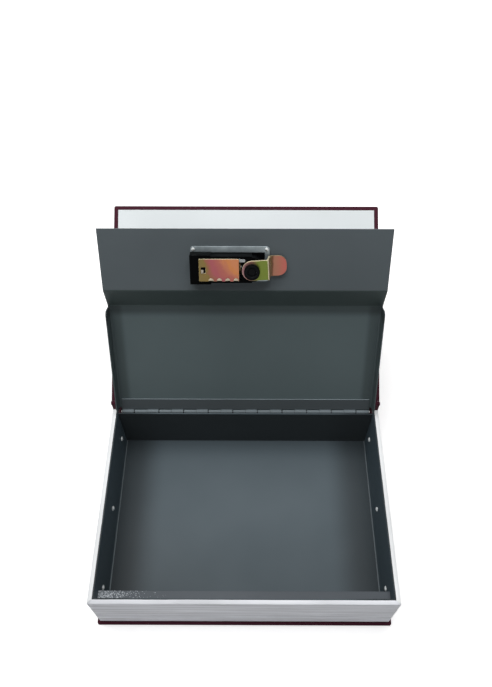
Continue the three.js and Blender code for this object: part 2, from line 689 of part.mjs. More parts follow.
// The lid, drawn closed: a flanged panel, a step down, and the shelf that carries the lock
function lockCutout(z0, z1) {
  const half = BODY_WIDTH / 2 + CUTOUT_GAP;
  const [left, right] = [BODY_X0 - CUTOUT_GAP, BODY_X1 + CUTOUT_GAP];
  const outline = rectangle(left, LOCK_Y - half, right, LOCK_Y + half, BODY_CORNER_RADIUS);
  return upward(outline, z0, z1);
}

function screwPlaces() {
  const y = MOUNT_FRONT + SCREW_INSET;
  return [
    ['left', BODY_X0 - MOUNT_SIDE_MARGIN + SCREW_INSET, y],
    ['right', BODY_X1 + MOUNT_HUB_MARGIN - SCREW_INSET, y],
  ];
}

function screwHoles(z0, z1) {
  const radius = SCREW_SHANK_RADIUS + RIVET_HOLE_GAP;
  return screwPlaces().map(([, x, y]) => upward(circle(x, y, radius, SMALL_SIDES), z0, z1));
}

function lidPanel() {
  const panelMiddle = LID_TOP - STEEL / 2;
  const shelfMiddle = SHELF_TOP - STEEL / 2;
  const flangeMiddle = LID_HALF - STEEL / 2;
  const flangeBottom = LID_TOP - FLANGE_DEPTH;
  const rear = HINGE_Y - FLANGE_START;
  const front = STEP_HEAD + FLANGE_SETBACK;
  const pan = sheet([
    [-flangeMiddle, flangeBottom],
    [-flangeMiddle, panelMiddle, FLANGE_FOLD_RADIUS],
    [flangeMiddle, panelMiddle, FLANGE_FOLD_RADIUS],
    [flangeMiddle, flangeBottom],
  ], STEEL);
  const stepped = sheet([
    [front + FLANGE_LAP, panelMiddle],
    [STEP_HEAD, panelMiddle, STEP_BEND_RADIUS],
    [STEP_FOOT, shelfMiddle, STEP_BEND_RADIUS],
    [LID_EDGE, shelfMiddle],
  ], STEEL);
  const rearHalf = flangeMiddle - FLANGE_FOLD_RADIUS;
  const whole = join(
    alongY(pan, front, rear),
    alongX(stepped, -LID_HALF, LID_HALF),
    block(-rearHalf, rearHalf, rear - FLANGE_LAP, HINGE_Y + LID_REAR_OVERHANG, PANEL_INNER, LID_TOP),
  );
  return cut(
    whole,
    flangeCorner(front, FLANGE_FRONT_RADIUS, 1),
    flangeCorner(rear, FLANGE_REAR_RADIUS, -1),
    lockCutout(SHELF_INNER - OVERRUN, SHELF_TOP + OVERRUN),
    ...screwHoles(SHELF_INNER - OVERRUN, SHELF_TOP + OVERRUN),
  );
}

// What is cut off a flange's free corner; sign gives the way into the flange along Y
function flangeCorner(y, radius, sign) {
  const z = LID_TOP - FLANGE_DEPTH;
  const from = -Math.PI / 2;
  const to = sign > 0 ? -Math.PI : 0;
  const outline = [
    [y - sign * OVERRUN, z - OVERRUN],
    [y + sign * radius, z - OVERRUN],
    ...arc(y + sign * radius, z + radius, radius, from, to, FILLET_STEPS),
    [y - sign * OVERRUN, z + radius],
  ];
  return alongX(outline, -LID_HALF - OVERRUN, LID_HALF + OVERRUN);
}

add(lid, 'lid_panel', lidPanel(), PAINT);

// The lock's moulded body: bezel outside the shelf, chamber for the wheels, round end at the hub
function wheelX(i) {
  return FIRST_WHEEL_X + i * WHEEL_PITCH;
}

function lockHousing() {
  const half = BODY_WIDTH / 2;
  const bezelHalf = half + BEZEL_MARGIN_Y;
  const bodyOutline = rectangle(BODY_X0, LOCK_Y - half, BODY_X1, LOCK_Y + half, BODY_CORNER_RADIUS);
  const body = upward(bodyOutline, BODY_BACK, BEZEL_BOTTOM);
  const bezelOutline = rectangle(
    BODY_X0 - BEZEL_MARGIN_X,
    LOCK_Y - bezelHalf,
    BODY_X1 + BEZEL_MARGIN_X,
    LOCK_Y + bezelHalf,
    BEZEL_CORNER_RADIUS,
  );
  const bezel = upward(bezelOutline, BEZEL_BOTTOM, BEZEL_TOP);
  const shoulder = SHELF_INNER - BODY_SHOULDER;
  const roundEnd = cut(
    block(
      HUB_X,
      BODY_X1 + OVERRUN,
      LOCK_Y - half - OVERRUN,
      LOCK_Y + half + OVERRUN,
      BODY_BACK - OVERRUN,
      shoulder,
    ),
    upward(circle(HUB_X, LOCK_Y, BODY_RIGHT, FINE_SIDES), BODY_BACK - 2 * OVERRUN, shoulder + OVERRUN),
  );
  const chamber = block(
    CHAMBER_X0,
    CHAMBER_X1,
    BAR_Y - BAR_THICKNESS - SEAT_GAP,
    COMB_Y + COMB_THICKNESS + SEAT_GAP,
    BODY_BACK - OVERRUN,
    BEZEL_TOP - BEZEL_ROOF,
  );
  const windows = [];
  for (let i = 0; i < WHEELS; i += 1) {
    const reach = WHEEL_WIDTH / 2 + WINDOW_GAP;
    const long = WINDOW_LENGTH / 2;
    const [left, right] = [wheelX(i) - reach, wheelX(i) + reach];
    windows.push(block(left, right, LOCK_Y - long, LOCK_Y + long, WHEEL_Z, BEZEL_TOP + OVERRUN));
  }
  const bore = upward(circle(HUB_X, LOCK_Y, BORE_RADIUS), BODY_BACK - OVERRUN, BEZEL_TOP + OVERRUN);
  const axleHole = alongX(
    circle(LOCK_Y, WHEEL_Z, AXLE_RADIUS + AXLE_GAP, SMALL_SIDES),
    CHAMBER_X0 - AXLE_BITE - SEAT_GAP,
    CHAMBER_X1 + AXLE_BITE + SEAT_GAP,
  );
  const pinTop = BODY_BACK + PAWL_PIN_BITE + SEAT_GAP;
  const pinHole = pawlPin(PAWL_PIN_RADIUS + PAWL_PIN_GAP, BODY_BACK - OVERRUN, pinTop);
  return cut(join(body, bezel), roundEnd, chamber, bore, axleHole, pinHole, ...windows);
}

// A number wheel: ten flat lands with a notch between each pair
function numberWheel(x) {
  const outline = [];
  for (let i = 0; i < DIGITS; i += 1) {
    const middle = (i * 2 * Math.PI) / DIGITS;
    const land = (Math.PI / DIGITS) * (1 - WHEEL_NOTCH_SHARE);
    outline.push(...arc(LOCK_Y, WHEEL_Z, WHEEL_RADIUS, middle - land, middle + land, 2));
    const notch = middle + Math.PI / DIGITS;
    const deep = WHEEL_RADIUS - WHEEL_NOTCH_DEPTH;
    outline.push([LOCK_Y + deep * Math.cos(notch), WHEEL_Z + deep * Math.sin(notch)]);
  }
  const half = WHEEL_WIDTH / 2;
  return alongX(outline, x - half, x + half, [circle(LOCK_Y, WHEEL_Z, WHEEL_BORE)]);
}

// The ring inside a wheel, with the gate disc that the locking bar drops into
function codeRing(x) {
  const half = WHEEL_WIDTH / 2;
  const discStart = x + half + RING_GAP;
  const sleeveRadius = WHEEL_BORE - RING_GAP;
  const gate = block(
    discStart - OVERRUN / 2,
    discStart + RING_DISC_WIDTH + OVERRUN,
    LOCK_Y - GATE_WIDTH / 2,
    LOCK_Y + GATE_WIDTH / 2,
    WHEEL_Z + RING_DISC_RADIUS - GATE_DEPTH,
    WHEEL_Z + RING_DISC_RADIUS + OVERRUN,
  );
  const sleeve = alongX(circle(LOCK_Y, WHEEL_Z, sleeveRadius), x - half, discStart + RING_DISC_WIDTH);
  const disc = alongX(circle(LOCK_Y, WHEEL_Z, RING_DISC_RADIUS), discStart, discStart + RING_DISC_WIDTH);
  const bore = alongX(
    circle(LOCK_Y, WHEEL_Z, AXLE_RADIUS + RING_BORE_GAP, SMALL_SIDES),
    x - half - OVERRUN,
    discStart + RING_DISC_WIDTH + OVERRUN,
  );
  return cut(join(sleeve, disc), gate, bore);
}

function wheelAxle() {
  const outline = circle(LOCK_Y, WHEEL_Z, AXLE_RADIUS, SMALL_SIDES);
  return alongX(outline, CHAMBER_X0 - AXLE_BITE, CHAMBER_X1 + AXLE_BITE);
}

// The spring comb beside the wheels: its fingers pass the back plate's notches and end in half-round lugs
function detentComb() {
  const top = BEZEL_TOP - BEZEL_ROOF - SEAT_GAP;
  const x0 = CHAMBER_X0 + SEAT_GAP;
  const x1 = CHAMBER_X1 - SEAT_GAP;
  const outer = COMB_Y + COMB_THICKNESS;
  const lugTop = BACK_PLATE_BOTTOM - SEAT_GAP;
  const pieces = [block(x0, x1, COMB_Y, outer, top - COMB_RAIL, top)];
  for (let i = 0; i < WHEELS; i += 1) {
    const half = COMB_FINGER_WIDTH / 2;
    const [left, right] = [wheelX(i) - half, wheelX(i) + half];
    pieces.push(block(left, right, COMB_Y, outer, lugTop - COMB_THICKNESS, top - COMB_RAIL / 2));
    const lug = arc(wheelX(i), outer, COMB_LUG_RADIUS, Math.PI, 2 * Math.PI, SMALL_SIDES);
    pieces.push(upward(lug, lugTop - COMB_THICKNESS, lugTop));
  }
  return join(...pieces);
}

// The bar on the wheels' other side: a fin stands over each ring's gate disc
function lockingBar() {
  const z0 = WHEEL_Z - BAR_HEIGHT / 2;
  const z1 = WHEEL_Z + BAR_HEIGHT / 2;
  const pieces = [block(CHAMBER_X0 + SEAT_GAP, CHAMBER_X1 - SEAT_GAP, BAR_Y - BAR_THICKNESS, BAR_Y, z0, z1)];
  const finTip = LOCK_Y - RING_DISC_RADIUS - SEAT_GAP;
  for (let i = 0; i < WHEELS; i += 1) {
    const fin = wheelX(i) + WHEEL_WIDTH / 2 + RING_GAP;
    pieces.push(block(fin, fin + RING_DISC_WIDTH, BAR_Y - BAR_THICKNESS / 2, finTip, z0, z1));
  }
  return join(...pieces);
}

function backPlate() {
  const half = BACK_PLATE_WIDTH / 2;
  const plan = rectangle(
    BACK_PLATE_X0,
    LOCK_Y - half,
    BACK_PLATE_X1,
    LOCK_Y + half,
    BACK_PLATE_CORNER_RADIUS,
  );
  const slotHalf = TAB_SLOT_LENGTH / 2;
  const slot = rectangle(TAB_SLOT_X0, LOCK_Y - slotHalf, TAB_SLOT_X0 + TAB_SLOT_WIDTH, LOCK_Y + slotHalf);
  const notches = [];
  for (let i = 0; i < WHEELS; i += 1) {
    const reach = COMB_FINGER_WIDTH / 2 + NOTCH_GAP;
    const edge = LOCK_Y + half + OVERRUN;
    const [low, high] = [BACK_PLATE_BOTTOM - OVERRUN, BACK_PLATE_TOP + OVERRUN];
    notches.push(block(wheelX(i) - reach, wheelX(i) + reach, COMB_Y - NOTCH_GAP, edge, low, high));
  }
  return cut(upward(plan, BACK_PLATE_BOTTOM, BACK_PLATE_TOP, [slot]), ...notches);
}

// The code reset tab: a foot behind the back plate, and a stub in its slot
function resetTab() {
  const stub0 = TAB_SLOT_X0 + SEAT_GAP;
  const stubEnd = LOCK_Y + TAB_SLOT_LENGTH / 2 - SEAT_GAP;
  const foot0 = CHAMBER_X0 + SEAT_GAP;
  const foot = block(
    foot0,
    TAB_SLOT_X0 + TAB_SLOT_WIDTH + SEAT_GAP,
    stubEnd - TAB_LENGTH / 2 - TAB_BASE_LENGTH / 2,
    stubEnd - TAB_LENGTH / 2 + TAB_BASE_LENGTH / 2,
    BODY_BACK,
    BODY_BACK + TAB_BASE_THICKNESS,
  );
  const stub = block(
    stub0,
    stub0 + TAB_WIDTH,
    stubEnd - TAB_LENGTH,
    stubEnd,
    BACK_PLATE_BOTTOM - TAB_RISE,
    BODY_BACK + TAB_BASE_THICKNESS / 2,
  );
  return join(foot, stub);
}

// The cap round the body's far end
function endCap() {
  const half = BODY_WIDTH / 2 + SEAT_GAP;
  const x0 = BODY_X0 - SEAT_GAP;
  const x1 = x0 - CAP_WALL + CAP_LENGTH;
  const back = BODY_BACK - SEAT_GAP;
  const outer = block(
    x0 - CAP_WALL,
    x1,
    LOCK_Y - half - CAP_WALL,
    LOCK_Y + half + CAP_WALL,
    back - CAP_WALL,
    MOUNT_BOTTOM - SEAT_GAP,
  );
  return cut(
    outer,
    block(x0, x1 + OVERRUN, LOCK_Y - half, LOCK_Y + half, back, MOUNT_BOTTOM + OVERRUN),
    block(
      BACK_PLATE_X0 - SEAT_GAP,
      x1 + OVERRUN,
      LOCK_Y - half,
      LOCK_Y + half,
      back - CAP_WALL - OVERRUN,
      back + OVERRUN,
    ),
  );
}

function mountingPlate() {
  const outline = rectangle(
    BODY_X0 - MOUNT_SIDE_MARGIN,
    MOUNT_FRONT,
    BODY_X1 + MOUNT_HUB_MARGIN,
    LOCK_Y + BODY_WIDTH / 2 + MOUNT_REAR_MARGIN,
    MOUNT_CORNER_RADIUS,
  );
  return cut(
    upward(outline, MOUNT_BOTTOM, MOUNT_TOP),
    lockCutout(MOUNT_BOTTOM - OVERRUN, MOUNT_TOP + OVERRUN),
    ...screwHoles(MOUNT_BOTTOM - OVERRUN, MOUNT_TOP + OVERRUN),
  );
}

function plateRivet(x, y) {
  const domeShares = [[1, 0], [0.9, 0.5], [0.55, 0.9], [0, 1]];
  const seat = MOUNT_BOTTOM - RIVET_SEAT_GAP;
  const dome = domeShares.map(([across, down]) => {
    return [across * SCREW_HEAD_RADIUS, seat - down * SCREW_HEAD_HEIGHT];
  });
  const profile = [
    ...dome.reverse(),
    [SCREW_SHANK_RADIUS, seat],
    [SCREW_SHANK_RADIUS, SHELF_TOP],
    [0, SHELF_TOP],
  ];
  return turned(profile, SMALL_SIDES).translate(x, y, 0);
}

// The small silvery lever between the back plate and the hub, pinned in the body
function pawlPin(radius, z0, z1) {
  const x = HUB_X - PAWL_OFFSET_X + PAWL_LENGTH / 4;
  return upward(circle(x, PAWL_Y, radius, SMALL_SIDES), z0, z1);
}

function lockingPawl() {
  const x = HUB_X - PAWL_OFFSET_X;
  const top = BODY_BACK - SEAT_GAP;
  const [long, wide] = [PAWL_LENGTH / 2, PAWL_WIDTH / 2];
  const outline = rectangle(x - long, PAWL_Y - wide, x + long, PAWL_Y + wide, PAWL_WIDTH / 3);
  const lever = upward(outline, top - PAWL_THICKNESS, top);
  return join(lever, pawlPin(PAWL_PIN_RADIUS, top - PAWL_THICKNESS / 2, BODY_BACK + PAWL_PIN_BITE));
}

add(lid, 'lock_housing', lockHousing(), BLACK);
add(lid, 'lock_end_cap', endCap(), BLACK);
add(lid, 'lock_mounting_plate', mountingPlate(), ZINC);
for (const [side, x, y] of screwPlaces()) {
  add(lid, `lock_plate_rivet_${side}`, plateRivet(x, y), BRIGHT);
}
add(lid, 'lock_back_plate', backPlate(), YELLOW_ZINC);
add(lid, 'locking_pawl', lockingPawl(), BRIGHT);
add(lid, 'wheel_axle', wheelAxle(), BRIGHT);
add(lid, 'detent_comb', detentComb(), WHITE);
add(lid, 'locking_bar', lockingBar(), ZINC);
add(lid, 'reset_tab', resetTab(), WHITE);
for (let i = 0; i < WHEELS; i += 1) {
  add(lid, `number_wheel_${i + 1}`, numberWheel(wheelX(i)), BLACK);
  add(lid, `code_ring_${i + 1}`, codeRing(wheelX(i)), YELLOW_ZINC);
}

// The turning core: knob outside, spindle through the body, cam, washer and nut inside
function lockKnob() {
  const bottom = BEZEL_TOP + SEAT_GAP;
  const chamfer = KNOB_BASE / 3;
  const disc = turned([
    [0, bottom],
    [KNOB_RADIUS, bottom],
    [KNOB_RADIUS, bottom + KNOB_BASE - chamfer],
    [KNOB_RADIUS - chamfer, bottom + KNOB_BASE],
    [0, bottom + KNOB_BASE],
  ], FINE_SIDES).translate(HUB_X, LOCK_Y, 0);
  const long = KNOB_RADIUS - chamfer;
  const wide = KNOB_GRIP_WIDTH / 2;
  const grip = rectangle(HUB_X - long, LOCK_Y - wide, HUB_X + long, LOCK_Y + wide, KNOB_GRIP_CORNER_RADIUS);
  return join(disc, upward(grip, bottom + KNOB_BASE / 2, bottom + KNOB_HEIGHT));
}

function lockSpindle() {
  const top = BEZEL_TOP;
  return turned([
    [0, NUT_BOTTOM + NUT_SOCKET_DEPTH],
    [SPINDLE_THREAD_RADIUS, NUT_BOTTOM + NUT_SOCKET_DEPTH],
    [SPINDLE_THREAD_RADIUS, CAM_BOTTOM],
    [SPINDLE_RADIUS, CAM_BOTTOM],
    [SPINDLE_RADIUS, top],
    [0, top],
  ]).translate(HUB_X, LOCK_Y, 0);
}

function lockCam() {
  const middle = CAM_TOP - CAM_THICKNESS / 2;
  const crank = HUB_X + CAM_BASE_LENGTH + CAM_THICKNESS / 2;
  const outline = sheet([
    [HUB_X - CAM_BASE_RADIUS, middle],
    [crank, middle, CAM_BEND_RADIUS],
    [crank + CAM_CRANK_RUN, middle + CAM_CRANK_RISE, CAM_BEND_RADIUS],
    [HUB_X + CAM_LENGTH, middle + CAM_CRANK_RISE],
  ], CAM_THICKNESS);
  const wide = CAM_TONGUE_WIDTH / 2;
  const plan = filleted([
    ...arc(HUB_X, LOCK_Y, CAM_BASE_RADIUS, Math.PI / 2, 3 * Math.PI / 2, ROUND_SIDES / 2),
    [crank, LOCK_Y - CAM_BASE_RADIUS],
    [crank, LOCK_Y - wide],
    [HUB_X + CAM_LENGTH, LOCK_Y - wide, CAM_TONGUE_RADIUS],
    [HUB_X + CAM_LENGTH, LOCK_Y + wide, CAM_TONGUE_RADIUS],
    [crank, LOCK_Y + wide],
    [crank, LOCK_Y + CAM_BASE_RADIUS],
  ]);
  const low = CAM_BOTTOM - OVERRUN;
  const high = CAM_TOP + CAM_CRANK_RISE + OVERRUN;
  const strip = alongY(outline, LOCK_Y - wide, LOCK_Y + wide);
  const bore = upward(circle(HUB_X, LOCK_Y, SPINDLE_RADIUS + SEAT_GAP), low, high);
  const cam = cut(common(strip, upward(plan, low, high)), bore);
  return cam.translate(-HUB_X, -LOCK_Y, 0).rotateZ(CAM_REST_ANGLE).translate(HUB_X, LOCK_Y, 0);
}

function camWasher() {
  const bore = circle(HUB_X, LOCK_Y, SPINDLE_THREAD_RADIUS + SEAT_GAP);
  return upward(circle(HUB_X, LOCK_Y, WASHER_RADIUS), WASHER_TOP - WASHER_THICKNESS, WASHER_TOP, [bore]);
}

function camNut() {
  const bore = SPINDLE_THREAD_RADIUS + SEAT_GAP;
  return turned([
    [bore, NUT_BOTTOM + NUT_SOCKET_DEPTH],
    [NUT_SOCKET_RADIUS, NUT_BOTTOM],
    [NUT_RADIUS - NUT_CHAMFER, NUT_BOTTOM],
    [NUT_RADIUS, NUT_BOTTOM + NUT_CHAMFER],
    [NUT_RADIUS, NUT_TOP],
    [bore, NUT_TOP],
    [bore, NUT_BOTTOM + NUT_SOCKET_DEPTH],
  ], FINE_SIDES).translate(HUB_X, LOCK_Y, 0);
}

add(lid, 'lock_knob', lockKnob(), BLACK);
add(lid, 'lock_spindle', lockSpindle(), BLACK);
add(lid, 'lock_cam', lockCam(), YELLOW_ZINC);
add(lid, 'cam_washer', camWasher(), BRIGHT);
add(lid, 'cam_nut', camNut(), BLACK);

export default safe;
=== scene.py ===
"""Book diversion safe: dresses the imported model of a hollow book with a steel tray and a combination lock."""
import json
from math import cos, pi, radians, sin
from typing import NamedTuple

import bmesh
import bpy
from bpy.props import FloatProperty, FloatVectorProperty, IntProperty, PointerProperty
from bpy.types import NodeSocket, Operator, Panel, PropertyGroup
from mathutils import Matrix, Vector


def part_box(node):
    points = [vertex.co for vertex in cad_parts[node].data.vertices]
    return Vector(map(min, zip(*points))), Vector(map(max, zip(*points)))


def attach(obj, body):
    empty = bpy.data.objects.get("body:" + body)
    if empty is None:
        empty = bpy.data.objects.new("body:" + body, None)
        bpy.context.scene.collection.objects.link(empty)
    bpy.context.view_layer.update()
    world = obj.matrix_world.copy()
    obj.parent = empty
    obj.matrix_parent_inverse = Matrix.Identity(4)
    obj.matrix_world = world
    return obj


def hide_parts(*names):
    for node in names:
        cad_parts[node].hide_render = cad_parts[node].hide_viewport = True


bl_info = {
    "name": "Book Diversion Safe",
    "version": (1, 0, 0),
    "blender": (4, 5, 0),
    "location": "3D View > Sidebar > Book Safe",
    "description": "Dresses a hollow-book safe: cloth boards, page block, painted steel and lock",
    "category": "Object",
}

MM = 0.001

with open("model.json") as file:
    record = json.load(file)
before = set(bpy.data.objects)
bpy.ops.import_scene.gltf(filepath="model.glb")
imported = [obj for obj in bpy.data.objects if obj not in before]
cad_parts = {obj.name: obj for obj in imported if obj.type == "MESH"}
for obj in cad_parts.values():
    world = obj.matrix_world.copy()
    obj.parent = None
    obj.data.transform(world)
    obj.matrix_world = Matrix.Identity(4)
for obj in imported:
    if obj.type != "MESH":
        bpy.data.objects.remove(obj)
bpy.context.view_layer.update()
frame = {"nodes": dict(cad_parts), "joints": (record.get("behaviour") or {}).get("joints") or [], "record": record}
NODES = frame["nodes"]
JOINTS = {joint["name"]: joint for joint in frame["joints"]}
SLOTS = {material["slot"]: material for material in frame["record"]["materials"]}

# At rest the lid stands open, turned back about its hinge from where it lies when closed
LID_AXIS = Vector(JOINTS["lid_hinge"]["pos_m"])
LID_ANGLE = radians(JOINTS["lid_hinge"]["range_deg"][1])
LID_TURN = Matrix.Rotation(-LID_ANGLE, 3, "X")
LID_INWARD = LID_TURN @ Vector((0, 0, -1))

# Properties


def slot_colour(name):
    return tuple(SLOTS[name]["base_color"][:3])


def colour_property(name, description, slot):
    return FloatVectorProperty(
        name=name, description=description, default=slot_colour(slot), subtype="COLOR", size=3, min=0, max=1
    )


def number_property(name, description, default, **more):
    return FloatProperty(name=name, description=description, default=default, **more)


def length_property(name, description, default):
    return number_property(name, description, default, unit="LENGTH", min=0, precision=5)


class SafeColours(PropertyGroup):
    """Colours of the finishes"""

    cloth: colour_property("Book cloth", "Maroon cloth on boards and spine", "book_cloth")
    paper: colour_property("Endpaper", "Paper pasted inside the boards", "endpaper")
    pages: colour_property("Page edges", "Edges of the page block", "page_edge")
    paint: colour_property("Paint", "Powder coat on tray and lid", "grey_paint")
    ledge: colour_property("Ledge paint", "Powder coat on the front ledge", "ledge_paint")
    bright: colour_property("Bright steel", "Rivets, pin and washer", "bright_steel")
    zinc: colour_property("Zinc", "Plate behind the lock", "zinc_plate")
    black: colour_property("Black plastic", "Lock body, wheels and knob", "black_plastic")
    white: colour_property("Pale plastic", "Reset tab", "white_plastic")
    board: colour_property("Grey board", "Strip behind the tray", "greyboard")


class SafeSizes(PropertyGroup):
    """Sizes that the dressing adds to the solids"""

    sheet_edge: length_property("Sheet edge", "Rounding on the edges of steel sheet", 0.22 * MM)
    moulded_edge: length_property("Moulded edge", "Rounding on plastic edges", 0.3 * MM)
    board_edge: length_property("Board edge", "Rounding on the cloth-covered boards", 0.8 * MM)
    leaf_pitch: length_property("Leaf pitch", "Height of one bundle of pages", 1.3 * MM)
    leaf_wander: length_property("Leaf wander", "How far page bundles stand in or out", 0.35 * MM)
    digit_height: length_property("Digit height", "Height of a number on a wheel", 3.4 * MM)
    cloth_swell: length_property("Cloth swell", "How far the rolled cloth is drawn out", 0.35 * MM)
    rivet_segments: IntProperty(name="Rivet segments", description="Faces round a rivet", default=28, min=8)


class StageSettings(PropertyGroup):
    """Camera and lamps"""

    camera_place: FloatVectorProperty(
        name="Camera place",
        description="Camera position",
        default=(5.17 * MM, -237.53 * MM, 599.44 * MM),
        subtype="TRANSLATION",
        unit="LENGTH",
    )
    look_down: number_property("Look down", "Camera pitch below the horizon", radians(57.73), subtype="ANGLE")
    look_left: number_property("Look left", "Camera yaw towards its left", radians(0.195), subtype="ANGLE")
    focal_length: number_property("Focal length", "Camera lens in mm", 33.66, min=1)
    sensor_width: number_property("Sensor width", "Camera sensor in mm", 36, min=1)
    shift_right: number_property("Shift right", "Framing to the right, as a share", -0.0052)
    shift_up: number_property("Shift up", "Framing upwards, as a share", 0.0821)
    top_power: number_property("Top lamp", "Power of the overhead lamp in watts", 17.4)
    front_power: number_property("Front lamp", "Power of the front lamp in watts", 0.7)
    sky: number_property("Sky", "Strength of the even light all round", 0.07)


def colours():
    return bpy.context.scene.safe_colours


def sizes():
    return bpy.context.scene.safe_sizes


# Meshes

SHARP = radians(38)
FLAT = radians(0.6)
MERGE_REACH = 0.002 * MM
THIN_EDGE = 0.1 * MM
FINE_EDGE = 0.15 * MM
SOFT_EDGE = 0.3 * MM


def new_object(name, bm):
    mesh = bpy.data.meshes.new(name)
    bm.to_mesh(mesh)
    bm.free()
    piece = bpy.data.objects.new(name, mesh)
    bpy.context.scene.collection.objects.link(piece)
    return piece


def from_lists(name, points, faces=()):
    bm = bmesh.new()
    corners = [bm.verts.new(point) for point in points]
    for face in faces:
        bm.faces.new([corners[i] for i in face])
    bmesh.ops.recalc_face_normals(bm, faces=bm.faces)
    return new_object(name, bm)


def swept(name, sections):
    """A closed skin over a row of sections that all have the same number of points"""
    count = len(sections[0])
    points = [point for section in sections for point in section]
    faces = []
    for i in range(len(sections) - 1):
        for j in range(count):
            k = (j + 1) % count
            faces.append((i * count + j, i * count + k, (i + 1) * count + k, (i + 1) * count + j))
    last = (len(sections) - 1) * count
    faces.append(tuple(reversed(range(count))))
    faces.append(tuple(range(last, last + count)))
    return from_lists(name, points, faces)


def as_plain_mesh(piece):
    """Takes the piece's modifiers into its mesh"""
    graph = bpy.context.evaluated_depsgraph_get()
    graph.update()
    mesh = bpy.data.meshes.new_from_object(piece.evaluated_get(graph))
    piece.modifiers.clear()
    old = piece.data
    piece.data = mesh
    bpy.data.meshes.remove(old)
    return piece


def softened(piece, width, segments=2):
    """Rounds the piece's edges and smooths its bends; the flats keep their own shading"""
    piece.data.shade_smooth()
    piece.data.set_sharp_from_angle(angle=SHARP)
    bevel = piece.modifiers.new("Edges", "BEVEL")
    bevel.width = width
    bevel.segments = segments
    bevel.limit_method = "ANGLE"
    bevel.angle_limit = SHARP
    bevel.use_clamp_overlap = True
    bevel.miter_outer = "MITER_ARC"
    normals = piece.modifiers.new("Normals", "WEIGHTED_NORMAL")
    normals.keep_sharp = True
    normals.weight = 100
    return as_plain_mesh(piece)


def copy_of(node, name):
    """A merged copy of a solid, with its flat faces whole again"""
    bm = bmesh.new()
    bm.from_mesh(NODES[node].data)
    bmesh.ops.remove_doubles(bm, verts=bm.verts, dist=MERGE_REACH)
    bmesh.ops.dissolve_limit(bm, angle_limit=FLAT, verts=bm.verts, edges=bm.edges)
    bmesh.ops.connect_verts_concave(bm, faces=bm.faces)
    for layer in list(bm.loops.layers.uv):
        bm.loops.layers.uv.remove(layer)
    return new_object(name, bm)


def hand_over(piece, finish, body, slot, *nodes):
    """Gives a finished piece its finish, its body and the solids it stands for"""
    if finish is not None:
        piece.data.materials.clear()
        piece.data.materials.append(material(finish))
    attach(piece, body)
    if nodes:
        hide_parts(*nodes)
    return piece


def dressed(node, body, slot, finish, width, segments=2):
    """The solid itself, with rounded edges and a finish"""
    piece = softened(copy_of(node, "dressed_" + node), width, segments)
    return hand_over(piece, finish, body, slot, node)


def repaint(piece, finish, chosen, over=0):
    """Adds a finish for the chosen faces, of those that have the finish of that index"""
    piece.data.materials.append(material(finish))
    added = len(piece.data.materials) - 1
    for face in piece.data.polygons:
        if face.material_index == over and chosen(face):
            face.material_index = added


# How squarely a face looks along a direction, as the share of its normal that lies along it
WALL_SHARE = 0.98
SHEET_SHARE = 0.97
END_SHARE = 0.9
MOST_SHARE = 0.7
PART_SHARE = 0.3
SLOPE_SHARE = 0.2
LITTLE_SHARE = 0.15


def centre_of(node):
    low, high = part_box(node)
    return (low + high) / 2


def towards_middle(face):
    """How squarely the face looks at the middle of the book, from its own side"""
    return -face.normal.x if face.center.x > 0 else face.normal.x


def repaint_rim(piece, finish):
    """Gives the narrow edges of a sheet piece on the lid a pale finish of their own: a painted highlight"""
    repaint(piece, finish, lambda face: abs(face.normal.dot(LID_INWARD)) < SHEET_SHARE)


# Node trees


def put(tree, socket, value):
    """Links the output of another node to a socket, or sets the socket's value"""
    if isinstance(value, NodeSocket):
        tree.links.new(value, socket)
    elif socket.type == "RGBA":
        socket.default_value = (*value[:3], 1)
    else:
        socket.default_value = value


def add_node(tree, kind, inputs, **settings):
    """A node with its settings and its inputs, by name or by number"""
    node = tree.nodes.new(kind)
    for name, value in settings.items():
        setattr(node, name, value)
    for socket, value in inputs.items():
        put(tree, node.inputs[socket], value)
    return node


def first_output(tree, kind, inputs, **settings):
    return add_node(tree, kind, inputs, **settings).outputs[0]


def math_node(tree, operation, *values, clamp=False):
    inputs = dict(enumerate(values))
    return first_output(tree, "ShaderNodeMath", inputs, operation=operation, use_clamp=clamp)


def noise_node(tree, vector, scale, detail=2.0, roughness=0.5, distortion=0.0):
    names = ("Vector", "Scale", "Detail", "Roughness", "Distortion")
    inputs = dict(zip(names, (vector, scale, detail, roughness, distortion)))
    return first_output(tree, "ShaderNodeTexNoise", inputs)


def along_axes(tree, vector):
    return add_node(tree, "ShaderNodeSeparateXYZ", {0: vector}).outputs


def from_axes(tree, **values):
    return first_output(tree, "ShaderNodeCombineXYZ", values)


def ramp_node(tree, factor, stops):
    """Colours along a factor, each stop with its place and its colour"""
    node = add_node(tree, "ShaderNodeValToRGB", {"Fac": factor})
    node.color_ramp.interpolation = "EASE"
    elements = node.color_ramp.elements
    while len(elements) < len(stops):
        elements.new(0.5)
    for element, (place, colour) in zip(elements, stops):
        element.position = place
        element.color = (*colour, 1)
    return node.outputs["Color"]


def mix_colours(tree, factor, a, b, blend="MIX"):
    inputs = {0: factor, 6: a, 7: b}
    return add_node(tree, "ShaderNodeMix", inputs, data_type="RGBA", blend_type=blend).outputs[2]


def between(tree, factor, low, high):
    inputs = {"Value": factor, "To Min": low, "To Max": high}
    return first_output(tree, "ShaderNodeMapRange", inputs, clamp=True)


# Shader groups: each maker takes the group's inputs and gives its outputs


def uneven_tone(tree, given):
    """Two colours and two roughnesses blended by slow noise"""
    slow = noise_node(tree, given["Vector"], given["Scale"], 3.0)
    spread = math_node(tree, "MULTIPLY_ADD", slow, 2.6, -0.8, clamp=True)
    return {
        "Color": mix_colours(tree, spread, given["Tone"], given["Other Tone"]),
        "Roughness": between(tree, spread, given["Smooth"], given["Rough"]),
    }


